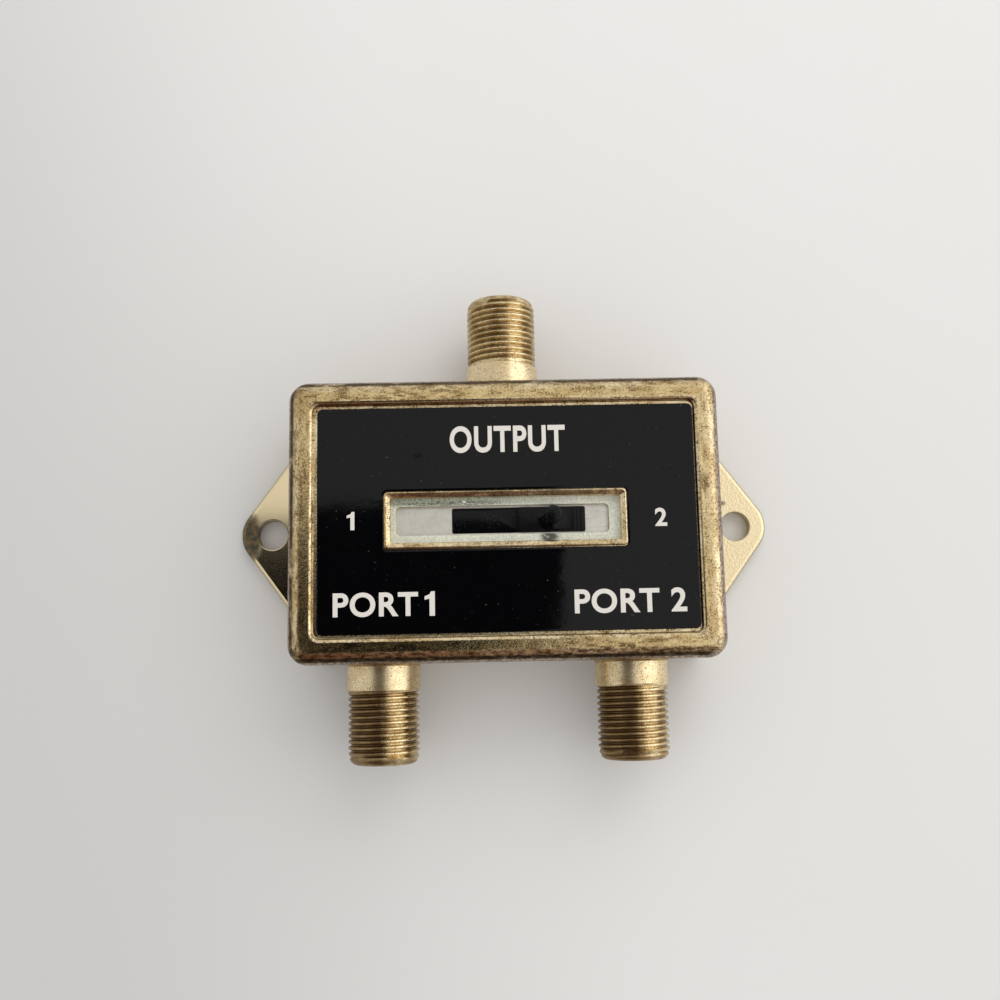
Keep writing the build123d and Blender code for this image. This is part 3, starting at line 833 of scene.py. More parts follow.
# Brass lugs, stamped: yellow, with light handling haze
LUGS = PlainMetal("brass_stamped", Tint.BRASS, Tint.BROWN_TARNISH_AND_SHADE, 0.24)
# Bearing steel, ground and polished: a cool near-mirror
BALL = PlainMetal("bearing_steel_polished", Tint.STEEL, Tint.WORN_NICKEL, 0.08)
# Spring steel wire, cold drawn: grey with faint draw lines
SPRING = PlainMetal("spring_steel_drawn", Tint.STEEL, Tint.PLATE_SCRATCH, 0.25, 0.2)
# Copper wire, hot tinned: dull silver, a little lumpy
TINNED = PlainMetal("copper_wire_hot_tinned", Tint.COPPER_TIN, Tint.WORN_NICKEL, 0.3, 0.4)


def link_object(name: str, data: Any) -> Thing:
    """Put a mesh, curve, camera or light into the scene as an object.

    Args:
        name: the object's name.
        data: what it shows.
    Returns:
        The object, at the origin.
    """
    made = bpy.data.objects.new(name, data)
    bpy.context.scene.collection.objects.link(made)
    return made


def make_object(name: str, points: np.ndarray, faces: Sequence[Sequence[int]] | np.ndarray,
                finishes: Sequence[Finish] = ()) -> Thing:
    """Make a smooth-shaded mesh object from points in millimetres.

    Args:
        name: the piece's name.
        points: one row of X, Y and Z for each corner.
        faces: the corner numbers of each face, counter-clockwise seen from outside.
        finishes: the finishes for the material slots.
    Returns:
        The object, at the origin, with its place in its mesh.
    """
    mesh = bpy.data.meshes.new(name)
    mesh.from_pydata((np.asarray(points, float) * MM).tolist(), [], [list(face) for face in faces])
    mesh.shade_smooth()
    for finish in finishes:
        mesh.materials.append(finish.material())
    return link_object(name, mesh)


def corners_of(mesh: bpy.types.Mesh, value: str = "co") -> np.ndarray:
    """Read one vector of each of a mesh's corners.

    Args:
        mesh: the mesh.
        value: "co" for the places in metres, or "normal".
    Returns:
        One row of X, Y and Z for each corner.
    """
    numbers = np.empty(len(mesh.vertices) * 3)
    mesh.vertices.foreach_get(value, numbers)
    return numbers.reshape(-1, 3)


def applied(thing: Thing) -> Thing:
    """Turn an object's modifiers into its plain mesh.

    Args:
        thing: the object with live modifiers.
    Returns:
        The same object with a plain mesh and no modifiers.
    """
    bpy.context.view_layer.update()
    evaluated = thing.evaluated_get(bpy.context.evaluated_depsgraph_get())
    mesh = bpy.data.meshes.new_from_object(evaluated)
    thing.modifiers.clear()
    thing.data = mesh
    return thing


def new_rule(name: str, inputs: dict[str, str]) -> Tree:
    """Start a Geometry Nodes tree that takes geometry, named inputs and a finish.

    Args:
        name: the tree's name.
        inputs: the socket type of each named input, after NodeSocket.
    Returns:
        The tree, with its sockets and no nodes.
    """
    tree = bpy.data.node_groups.new(name, "GeometryNodeTree")
    for label, kind in {"Geometry": "Geometry", **inputs, "Finish": "Material"}.items():
        tree.interface.new_socket(label, in_out="INPUT", socket_type=f"NodeSocket{kind}")
    tree.interface.new_socket("Geometry", in_out="OUTPUT", socket_type="NodeSocketGeometry")
    return tree


def end_rule(tree: Tree, geometry: Socket, finish: Socket) -> Tree:
    """End a Geometry Nodes tree: make the instances real and give them their finish.

    Args:
        tree: the tree.
        geometry: its last geometry.
        finish: its finish input.
    Returns:
        The same tree, ready for use.
    """
    real = add_node(tree, "GeometryNodeRealizeInstances", {"Geometry": geometry}).outputs[0]
    done = add_node(tree, "GeometryNodeSetMaterial", {"Geometry": real, "Material": finish}).outputs[0]
    add_node(tree, "NodeGroupOutput", {"Geometry": done})
    return tree


def follow_rule(thing: Thing, tree: Tree, values: dict[str, Any]) -> Thing:
    """Run a Geometry Nodes tree on an object and keep the result as its plain mesh.

    Args:
        thing: the object that holds the tree's geometry.
        tree: the tree.
        values: the value of each named input.
    Returns:
        The same object with its new mesh.
    """
    modifier = thing.modifiers.new("rule", "NODES")
    modifier.node_group = tree
    for item in tree.interface.items_tree:
        if item.in_out == "INPUT" and item.name in values:
            modifier[item.identifier] = values[item.name]
    return applied(thing)


def loft(rings: Sequence[np.ndarray]) -> tuple[np.ndarray, np.ndarray]:
    """Join closed rings of equally many points into one closed skin, last ring to first.

    Args:
        rings: the rings in order, each one row of X, Y and Z for each point.
    Returns:
        All points, and the four corner numbers of each face.
    """
    count, around = len(rings), len(rings[0])
    ring = np.arange(count)[:, None]
    step = np.arange(around)[None, :]
    next_ring, next_step = (ring + 1) % count, (step + 1) % around
    corners = [ring * around + step, ring * around + next_step,
               next_ring * around + next_step, next_ring * around + step]
    faces = np.stack([np.broadcast_to(corner, (count, around)) for corner in corners], axis=-1)
    return np.concatenate(rings), faces.reshape(-1, 4)


def capped(rings: Sequence[np.ndarray]) -> tuple[np.ndarray, list[tuple[int, ...]]]:
    """Join rings of equally many points into a rod that is closed at both ends.

    Args:
        rings: the rings in order, counter-clockwise seen from the last one.
    Returns:
        All points, and the corner numbers of each face.
    """
    count, rows = len(rings[0]), len(rings)
    faces = [(row * count + step, row * count + (step + 1) % count,
              (row + 1) * count + (step + 1) % count, (row + 1) * count + step)
             for row in range(rows - 1) for step in range(count)]
    faces += [tuple(reversed(range(count))), tuple(range((rows - 1) * count, rows * count))]
    return np.concatenate(rings), faces


@dataclass(frozen=True)
class Ring:
    """A rounded rectangle at one height, all in millimetres."""

    half_x: float
    half_y: float
    radius: float
    height: float
    centre_x: float = 0.0
    centre_y: float = 0.0

    def points(self, long_steps: int, short_steps: int, corner_steps: int) -> np.ndarray:
        """Walk the outline counter-clockwise from the right wall's top end.

        Args:
            long_steps: steps along each long side.
            short_steps: steps along each short side.
            corner_steps: steps round each corner.
        Returns:
            One row of X, Y and Z for each point.
        """
        reach_x, reach_y = self.half_x - self.radius, self.half_y - self.radius
        arcs = []
        for quarter, (way_x, way_y) in enumerate(((1, 1), (-1, 1), (-1, -1), (1, -1))):
            angles = math.pi / 2 * (quarter + np.linspace(0, 1, corner_steps + 1))
            arcs.append(np.stack([way_x * reach_x + self.radius * np.cos(angles),
                                  way_y * reach_y + self.radius * np.sin(angles)], axis=-1))
        walked = []
        for quarter, arc in enumerate(arcs):
            following = arcs[(quarter + 1) % 4]
            shares = np.linspace(0, 1, (long_steps if quarter % 2 == 0 else short_steps) + 1)[1:-1, None]
            walked += [arc, arc[-1] * (1 - shares) + following[0] * shares]
        flat = np.concatenate(walked) + (self.centre_x, self.centre_y)
        return np.column_stack([flat, np.full(len(flat), self.height)])


def eased(before: tuple[float, float], corner: tuple[float, float], after: tuple[float, float],
          reach: float, steps: int) -> list[tuple[float, float]]:
    """Round a corner of a profile by a smooth curve that leaves both its sides in their directions.

    Args:
        before: a point on the side that leads to the corner.
        corner: the corner.
        after: a point on the side that leaves it.
        reach: how far from the corner the curve begins and ends.
        steps: how many steps it has.
    Returns:
        The curve's points, with both ends.
    """
    turn = Vector(corner)
    first = turn + (Vector(before) - turn).normalized() * reach
    last = turn + (Vector(after) - turn).normalized() * reach
    return [tuple(first * (1 - share) ** 2 + turn * 2 * share * (1 - share) + last * share ** 2)
            for share in np.linspace(0, 1, steps + 1)]


@dataclass
class CastCase:
    """The die-cast case: shell, rim, label recess, window with its lip and two ears."""

    length: float = 57.0
    width: float = 37.3
    height: float = 17.6
    corner_radii: tuple[tuple[float, float], ...] = (
        (0.0, 2.7), (1.8, 1.2), (2.8, 1.5), (3.4, 0.95), (3.7, 0.7))
    crown_radius: float = 1.8
    label_length: float = 49.6
    label_ledge: float = 0.3
    bevel_width: float = 0.6
    roll_width: float = 0.53
    roll_drop: float = 0.38
    recess_depth: float = 0.75
    window_length: float = 30.1
    window_width: float = 5.9
    window_depth: float = 0.85
    window_corner: float = 0.4
    window_shift_y: float = -0.15
    lip_width: float = 0.8
    lip_height: float = 0.6
    lip_corner: float = 0.5
    lip_edge: float = 0.2
    lip_slope_width: float = 0.55
    lip_slope_depth: float = 0.32
    slot_length: float = 28.0
    slot_width: float = 3.8
    slot_corner: float = 0.6
    slot_shift_x: float = -0.4
    slot_edge: float = 0.1
    face_wall: float = 1.5
    side_wall: float = 2.0
    cavity_corner: float = 1.2
    cover_seat_width: float = 0.8
    cover_seat_height: float = 1.3
    foot_edge: float = 0.2
    ear_hole_x: float = 33.35
    ear_hole_radius: float = 2.15
    ear_hole_chamfer: float = 0.05
    ear_tip_radius: float = 4.45
    ear_root_x: float = 27.5
    ear_root_half: float = 15.5
    ear_thickness: float = 2.0
    ear_edge: float = 0.6
    connector_height: float = 8.3
    connector_hole_radius: float = 4.22
    input_x: float = 16.8
    dent: float = 0.035
    long_steps: int = 104
    short_steps: int = 68
    corner_steps: int = 8
    finish: Finish = CASTING
    floor_finish: Finish = WINDOW_FLOOR

    def outline(self, inset: float, height: float) -> Ring:
        """Give the outer wall's ring at an inset from the wall and a height."""
        insets, radii = zip(*self.corner_radii)
        radius = float(np.interp(inset, insets, radii))
        return Ring(self.length / 2 - inset, self.width / 2 - inset, radius, height)

    def rim_rings(self) -> list[Ring]:
        """Give the rings up the wall, over the crown and down the bevel to the recess.

        Returns:
            The rings in order.
        """
        top, edge = self.height, self.crown_radius
        wall = [(self.foot_edge * (1 - math.sin(turn)), self.foot_edge * (1 - math.cos(turn)))
                for turn in np.linspace(0, math.pi / 2, 4)]
        wall += [(0.0, height) for height in np.linspace(self.foot_edge + 0.8, top - edge - 0.1, 10)]
        crown = [(edge * (1 - math.cos(turn)), top - edge * (1 - math.sin(turn)))
                 for turn in np.linspace(0, math.pi / 2, 13)]
        flat_end = self.length / 2 - self.label_length / 2 - self.label_ledge - self.bevel_width
        foot = flat_end + self.bevel_width
        face = top - self.recess_depth
        flat = [(inset, top) for inset in np.linspace(edge + 0.1, flat_end - 0.05, 6)]
        roll = [(flat_end + self.roll_width * math.sin(turn), top - self.roll_drop * (1 - math.cos(turn)))
                for turn in np.linspace(0, math.pi / 2, 11)]
        seat = eased(roll[-1], (foot, face), (foot + 1.0, face), 0.08, 4)
        return [self.outline(inset, height) for inset, height in wall + crown + flat + roll + seat]

    def window_ring(self, outset: float, height: float) -> Ring:
        """Give a ring round the window at a distance out from its wall and a height."""
        radius = self.window_corner + (self.lip_corner - self.window_corner) * outset / self.lip_width
        return Ring(self.window_length / 2 + outset, self.window_width / 2 + outset, radius, height,
                    0.0, self.window_shift_y)

    def window_rings(self) -> list[Ring]:
        """Give the rings over the lip, down the window's wall, over its floor and down the slot.

        Returns:
            The rings in order.
        """
        face = self.height - self.recess_depth
        lip_top, floor = face + self.lip_height, face - self.window_depth
        width, edge, slope = self.lip_width, self.lip_edge, self.lip_slope_width
        slope_foot = (0.0, lip_top - self.lip_slope_depth)
        over = [(width + 0.1, face), (width, face + 0.02)]
        over += [(width - edge * (1 - math.cos(turn)), lip_top - edge * (1 - math.sin(turn)))
                 for turn in np.linspace(0, math.pi / 2, 6)]
        over += eased((width, lip_top), (slope, lip_top), slope_foot, 0.04, 3)
        over += eased((slope, lip_top), slope_foot, (0.0, floor), 0.08, 3)
        over += [(0.0, height) for height in np.linspace(slope_foot[1] - 0.15, floor + 0.12, 4)]
        over += [(-0.02, floor + 0.03), (-0.1, floor)]
        return [self.window_ring(outset, height) for outset, height in over]

    def slot_ring(self, outset: float, height: float) -> Ring:
        """Give a ring round the slot at a distance out from its wall and a height."""
        return Ring(self.slot_length / 2 + outset, self.slot_width / 2 + outset,
                    self.slot_corner + max(outset, 0.0), height, self.slot_shift_x, self.window_shift_y)

    def inner_rings(self) -> list[Ring]:
        """Give the rings down the slot and round the inside of the case to its foot.

        Returns:
            The rings in order.
        """
        floor = self.height - self.recess_depth - self.window_depth
        ceiling = self.height - self.recess_depth - self.face_wall
        cavity_x, cavity_y = self.length / 2 - self.side_wall, self.width / 2 - self.side_wall
        seat_x, seat_y = cavity_x + self.cover_seat_width, cavity_y + self.cover_seat_width
        edge = self.slot_edge
        rings = [self.slot_ring(edge + 0.25, floor)]
        for turn in np.linspace(0, math.pi / 2, 4):
            rings.append(self.slot_ring(edge * (1 - math.sin(turn)), floor - edge * (1 - math.cos(turn))))
        rings += [self.slot_ring(0.0, ceiling)]
        for reach_x, reach_y, height in (
                (cavity_x, cavity_y, ceiling), (cavity_x, cavity_y, self.cover_seat_height),
                (seat_x, seat_y, self.cover_seat_height), (seat_x, seat_y, 0.0)):
            rings.append(Ring(reach_x, reach_y, self.cavity_corner, height))
        return rings

    def shell(self) -> Thing:
        """Make the case's shell as one closed skin of rings.

        Returns:
            The shell, with the window's floor in its second material slot.
        """
        rim, window, inner = self.rim_rings(), self.window_rings(), self.inner_rings()
        rings = [ring.points(self.long_steps, self.short_steps, self.corner_steps)
                 for ring in rim + window + inner]
        points, faces = loft(rings)
        shell = make_object("case_shell", points, faces, (self.finish, self.floor_finish))
        around = len(rings[0])
        first = (len(rim) + len(window) - 2) * around
        last = (len(rim) + len(window) + 3) * around
        for face in shell.data.polygons[first:last]:
            face.material_index = 1
        return shell

    def ear_outline(self, inset: float, height: float, angles: int = 72) -> np.ndarray:
        """Walk the right ear's outline counter-clockwise, moved inwards by an inset.

        Args:
            inset: how far inside the ear's edge.
            height: the ring's height.
            angles: steps round the tip.
        Returns:
            One row of X, Y and Z for each point.
        """
        reach, half = self.ear_hole_x - self.ear_root_x, self.ear_root_half
        span = math.hypot(reach, half)
        lean = math.atan2(half, reach) - math.asin(self.ear_tip_radius / span)
        touch = math.pi / 2 - lean
        radius = self.ear_tip_radius - inset
        tip = [(self.ear_hole_x + radius * math.cos(turn), radius * math.sin(turn))
               for turn in np.linspace(-touch, touch, angles + 1)]
        root = tip[-1][1] + (tip[-1][0] - self.ear_root_x) * math.tan(lean)
        shares = np.linspace(0, 1, 25)[1:-1]
        top = [(tip[-1][0] + (self.ear_root_x - tip[-1][0]) * share, tip[-1][1] + (root - tip[-1][1]) * share)
               for share in shares]
        back = [(self.ear_root_x, root * (1 - 2 * share)) for share in np.linspace(0, 1, 21)]
        bottom = [(x, -y) for x, y in reversed(top)]
        flat = np.array(tip + top + back + bottom)
        return np.column_stack([flat, np.full(len(flat), height)])

    def ear(self, side: int) -> Thing:
        """Make one screw ear as a closed skin of rings round its hole.

        Args:
            side: -1 for the left ear and 1 for the right.
        Returns:
            The ear.
        """
        top, edge, chamfer = self.ear_thickness, self.ear_edge, self.ear_hole_chamfer
        rings = [self.ear_outline(0.12, 0.0), self.ear_outline(0.03, 0.03), self.ear_outline(0.0, 0.12)]
        for turn in np.linspace(0, math.pi / 2, 8):
            rings.append(self.ear_outline(edge * (1 - math.cos(turn)), top - edge * (1 - math.sin(turn))))
        flat = self.ear_outline(edge + 0.08, top)
        from_hole = flat[:, :2] - (self.ear_hole_x, 0.0)
        turns = np.arctan2(from_hole[:, 1], from_hole[:, 0])

        def hole(radius: float, height: float) -> np.ndarray:
            """Give a ring round the screw hole, its points facing the outline's points."""
            return np.column_stack([self.ear_hole_x + radius * np.cos(turns), radius * np.sin(turns),
                                    np.full(len(turns), height)])

        mouth = hole(self.ear_hole_radius + chamfer + 0.12, top)
        rings += [flat + (mouth - flat) * share for share in (0.0, 0.2, 0.4, 0.6, 0.8, 1.0)]
        for turn in np.linspace(0, math.pi / 2, 5):
            rings.append(hole(self.ear_hole_radius + chamfer * (1 - math.sin(turn)),
                              top - chamfer * (1 - math.cos(turn))))
        rings += [hole(self.ear_hole_radius, height) for height in (1.2, 0.7, 0.15)]
        rings += [hole(self.ear_hole_radius + 0.08, 0.0)]
        if side < 0:
            rings = [ring[::-1] * (-1, 1, 1) for ring in rings]
        points, faces = loft(rings)
        return make_object(f"ear_{side}", points, faces, (self.finish,))

    def bore(self, x: float, way: Way) -> Thing:
        """Make the cutter for a connector's hole through the case wall.

        Args:
            x: the hole's place along the wall.
            way: the wall.
        Returns:
            A closed cylinder across the wall.
        """
        middle = way.value * (self.width / 2 - self.side_wall / 2)
        turns = np.linspace(0, 2 * math.pi, 96, endpoint=False)
        ring = np.stack([x + self.connector_hole_radius * np.cos(turns), np.full(len(turns), middle),
                         self.connector_height - self.connector_hole_radius * np.sin(turns)], axis=-1)
        points, faces = capped([ring + (0.0, reach, 0.0) for reach in (-self.side_wall, self.side_wall)])
        return make_object("connector_bore", points, faces)

    def dented(self, case: Thing) -> None:
        """Sink shallow casting waves into the outer faces, never outwards.

        Args:
            case: the case with its ears and holes.
        """
        mesh = case.data
        place, normal = corners_of(mesh), corners_of(mesh, "normal")
        inset = np.minimum(self.length / 2 * MM - abs(place[:, 0]), self.width / 2 * MM - abs(place[:, 1]))
        shown = (inset < 2.65 * MM) & (inset > -0.01 * MM) & (place[:, 2] > 0.4 * MM)
        for index in np.nonzero(shown)[0]:
            spot = Vector(place[index]) / MM
            wave = noise.noise(spot * 0.55) + 0.6 * noise.noise(spot * 1.3 + Vector((7, 3, 1)))
            place[index] -= normal[index] * self.dent * MM * (0.5 + 0.5 * max(-1.0, min(1.0, wave)))
        mesh.vertices.foreach_set("co", place.ravel())
        mesh.update()

    def map_rim(self, case: Thing) -> None:
        """Give each face a place along its side and an inset from the wall, in millimetres.

        Args:
            case: the finished case mesh, which gets the UV map that its finish reads.
        """
        mesh = case.data
        for layer in list(mesh.uv_layers):
            mesh.uv_layers.remove(layer)
        layer = mesh.uv_layers.new(name="rim")
        half_x, half_y = self.length / 2, self.width / 2
        place = corners_of(mesh) / MM
        spots_on = np.empty((len(mesh.loops), 2))
        for face in mesh.polygons:
            centre = np.array(face.center) / MM
            on_ear = abs(centre[0]) > half_x + 0.001
            short = half_x - abs(centre[0]) < half_y - abs(centre[1])
            shift = 100.0 * (2 * short + (centre[0] > 0 if short else centre[1] > 0))
            for loop in face.loop_indices:
                x, y, z = place[mesh.loops[loop].vertex_index]
                inset = min(half_x - abs(x), half_y - abs(y)) + min(0.0, z - self.height + self.crown_radius)
                spots_on[loop] = ((y if short else x) + shift, EAR_INSET if on_ear else inset)
        layer.data.foreach_set("uv", spots_on.ravel())

    def build(self) -> Thing:
        """Cast the case: join the shell and ears, cut the connector holes, and finish it.

        Returns:
            The case, which stands for its CAD node.
        """
        shell = self.shell()
        case = make_object("case_skin", np.zeros((0, 3)), [])
        case.data = shell.data
        joined = [(self.ear(side), "UNION") for side in (-1, 1)]
        bores = [(0.0, Way.TOP), (-self.input_x, Way.BOTTOM), (self.input_x, Way.BOTTOM)]
        joined += [(self.bore(x, way), "DIFFERENCE") for x, way in bores]
        for tool, operation in joined:
            cut = case.modifiers.new(tool.name, "BOOLEAN")
            cut.operation, cut.object, cut.solver = operation, tool, "EXACT"
        applied(case)
        for spent in [shell] + [tool for tool, _ in joined]:
            bpy.data.objects.remove(spent)
        self.dented(case)
        self.map_rim(case)
        case.data.set_sharp_from_angle(angle=math.radians(50))
        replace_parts(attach(case, "case"), "case")
        return case


@dataclass
class CastPegs:
    """The cast posts inside the case, with the peg ends that are peened over a sheet."""

    name: str
    places: tuple[tuple[float, float], ...]
    profile: tuple[tuple[float, float], ...]
    finish: Finish = CASTING
    steps: int = 40

    def tree(self) -> Tree:
        """Build the node tree that stands one turned peg on every point it is given.

        Returns:
            A tree with inputs for the geometry, the peg and its finish.
        """
        tree = new_rule(f"{self.name}_tree", {"Peg": "Object"})
        given = add_node(tree, "NodeGroupInput").outputs
        points = add_node(tree, "GeometryNodeMeshToPoints", {"Mesh": given["Geometry"]}).outputs[0]
        peg = add_node(tree, "GeometryNodeObjectInfo", {"Object": given["Peg"]}).outputs["Geometry"]
        stood = add_node(tree, "GeometryNodeInstanceOnPoints", {"Points": points, "Instance": peg}).outputs[0]
        return end_rule(tree, stood, given["Finish"])

    def build(self) -> Thing:
        """Turn one peg and stand a copy on each place.

        Returns:
            The pegs as one plain mesh.
        """
        turns = np.linspace(0, 2 * math.pi, self.steps, endpoint=False)
        rings = [np.stack([radius * np.cos(turns), radius * np.sin(turns), np.full(self.steps, height)], axis=-1)
                 for radius, height in self.profile]
        peg = make_object(f"{self.name}_one", *capped(rings), (self.finish,))
        pegs = make_object(self.name, np.array([(x, y, 0.0) for x, y in self.places]), [])
        follow_rule(pegs, self.tree(), {"Peg": peg, "Finish": self.finish.material()})
        bpy.data.objects.remove(peg)
        layer = pegs.data.uv_layers.get("rim") or pegs.data.uv_layers.new(name="rim")
        layer.data.foreach_set("uv", np.tile((0.0, 3.0), len(pegs.data.loops)))
        pegs.data.shade_smooth()
        pegs.data.set_sharp_from_angle(angle=math.radians(40))
        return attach(pegs, "case")


@dataclass(frozen=True)
class Word:
    """A plain word or number of the label: its place, height and, if it is squeezed, its length."""

    name: str
    text: str
    x: float
    y: float
    height: float
    length: float = 0.0


@dataclass
class FaceLabel:
    """The printed label plate in the face's recess, with its plain words and numbers."""

    length: float = 49.6
    width: float = 29.7
    shift_x: float = 0.2
    thickness: float = 0.15
    corner: float = 0.75
    edge: float = 0.04
    face: float = 16.85
    lip_half_x: float = 15.95
    lip_half_y: float = 3.85
    lip_corner: float = 0.6
    lip_shift_y: float = -0.15
    ink_height: float = 0.012
    boldness: float = 0.026
    letter_spacing: float = 1.08
    number_one: tuple[tuple[float, float], ...] = (
        (0.2, 0.0), (0.42, 0.0), (0.42, 1.0), (0.27, 1.0), (0.2, 0.88), (0.0, 0.8), (0.0, 0.66), (0.2, 0.7))
    words: tuple[Word, ...] = (
        Word("output_word", "OUTPUT", 0.45, 10.45, 3.6, 15.2),
        Word("port_word_1", "PORT", -17.0, -11.0, 3.15), Word("port_number_1", "1", -10.0, -11.0, 3.15),
        Word("port_word_2", "PORT 2", 15.95, -11.1, 3.15),
        Word("end_number_1", "1", -20.2, -0.1, 2.4), Word("end_number_2", "2", 20.3, -0.3, 2.4))

    def plate(self) -> Thing:
        """Make the label plate as one closed skin with the cut-out for the window's lip.

        Returns:
            The plate, which stands for its CAD node.
        """
        top = self.face + self.thickness
        half_x, half_y = self.length / 2, self.width / 2

        def outer(inset: float, height: float) -> Ring:
            """Give a ring inside the plate's edge."""
            return Ring(half_x - inset, half_y - inset, self.corner - inset, height, self.shift_x)

        def inner(outset: float, height: float) -> Ring:
            """Give a ring outside the cut-out's edge."""
            return Ring(self.lip_half_x + outset, self.lip_half_y + outset, self.lip_corner + outset,
                        height, 0.0, self.lip_shift_y)

        profile = ((0.0, self.face), (0.0, top - self.edge), (self.edge * 0.3, top - self.edge * 0.3),
                   (self.edge, top), (0.3, top))
        rings = [outer(*row) for row in profile] + [inner(*row) for row in reversed(profile)]
        points, faces = loft([ring.points(40, 24, 8) for ring in rings])
        plate = make_object("label_plate", points, faces, (LACQUER,))
        plate.data.set_sharp_from_angle(angle=math.radians(60))
        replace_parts(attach(plate, "case"), "face_label")
        return plate

    def letters(self, text: str) -> bpy.types.Curve:
        """Give a word's outline: the built-in typeface, whose number one is a bare bar, or a drawn one.

        Args:
            text: the word or number.
        Returns:
            The outline as a thick flat curve.
        """
        if text != "1":
            curve = bpy.data.curves.new("ink", "FONT")
            curve.body, curve.size, curve.offset = text, 1.0, self.boldness
            curve.space_character = self.letter_spacing
        else:
            curve = bpy.data.curves.new("ink", "CURVE")
            curve.dimensions, curve.fill_mode = "2D", "BOTH"
            line = curve.splines.new("POLY")
            line.points.add(len(self.number_one) - 1)
            for point, (x, y) in zip(line.points, self.number_one):
                point.co = (x, y, 0.0, 1.0)
            line.use_cyclic_u = True
        curve.extrude = 0.5
        return curve

    def print_word(self, word: Word) -> Thing:
        """Print one plain word or number.

        Args:
            word: the word, its place and its size.
        Returns:
            The ink as a thin mesh.
        """
        letters = link_object("ink", self.letters(word.text))
        bpy.context.view_layer.update()
        mesh = bpy.data.meshes.new_from_object(letters.evaluated_get(bpy.context.evaluated_depsgraph_get()))
        bpy.data.objects.remove(letters)
        place = corners_of(mesh)
        low, high = place.min(0), place.max(0)
        length = word.length or word.height * (high[0] - low[0]) / (high[1] - low[1])
        sized = (place - (low + high) / 2) / (high - low) * (length, word.height, self.ink_height)
        middle = (word.x, word.y, self.face + self.thickness + self.ink_height / 2)
        mesh.vertices.foreach_set("co", ((sized + middle) * MM).ravel())
        mesh.materials.clear()
        mesh.materials.append(INK.material())
        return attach(link_object(f"label_print_{word.name}", mesh), "case")

    def build(self) -> list[Thing]:
        """Make the plate and its print."""
        return [self.plate()] + [self.print_word(word) for word in self.words]


@dataclass
class EasedNode:
    """A CAD node whose sharp edges are eased, as a mould or a press leaves them."""

    node: str
    body: str
    slot: str
    finish: Finish
    radius: float = 0.08
    steps: int = 3
    limit: float = 30.0

    def build(self) -> Thing:
        """Copy the node's mesh, join its loose triangles and round its edges.

        Returns:
            The eased piece, which stands for its CAD node.
        """
        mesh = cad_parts[self.node].data.copy()
        mesh.name = f"{self.node}_eased"
        mesh.materials.clear()
        mesh.materials.append(self.finish.material())
        piece = link_object(f"{self.node}_eased", mesh)
        weld = piece.modifiers.new("weld", "WELD")
        weld.merge_threshold = 0.002 * MM
        flat = piece.modifiers.new("flat", "DECIMATE")
        flat.decimate_type, flat.angle_limit = "DISSOLVE", math.radians(1)
        ease = piece.modifiers.new("ease", "BEVEL")
        ease.width, ease.segments, ease.limit_method = self.radius * MM, self.steps, "ANGLE"
        ease.angle_limit, ease.harden_normals = math.radians(self.limit), False
        applied(piece)
        piece.data.shade_smooth()
        piece.data.set_sharp_from_angle(angle=math.radians(38))
        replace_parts(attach(piece, self.body), self.node)
        return piece


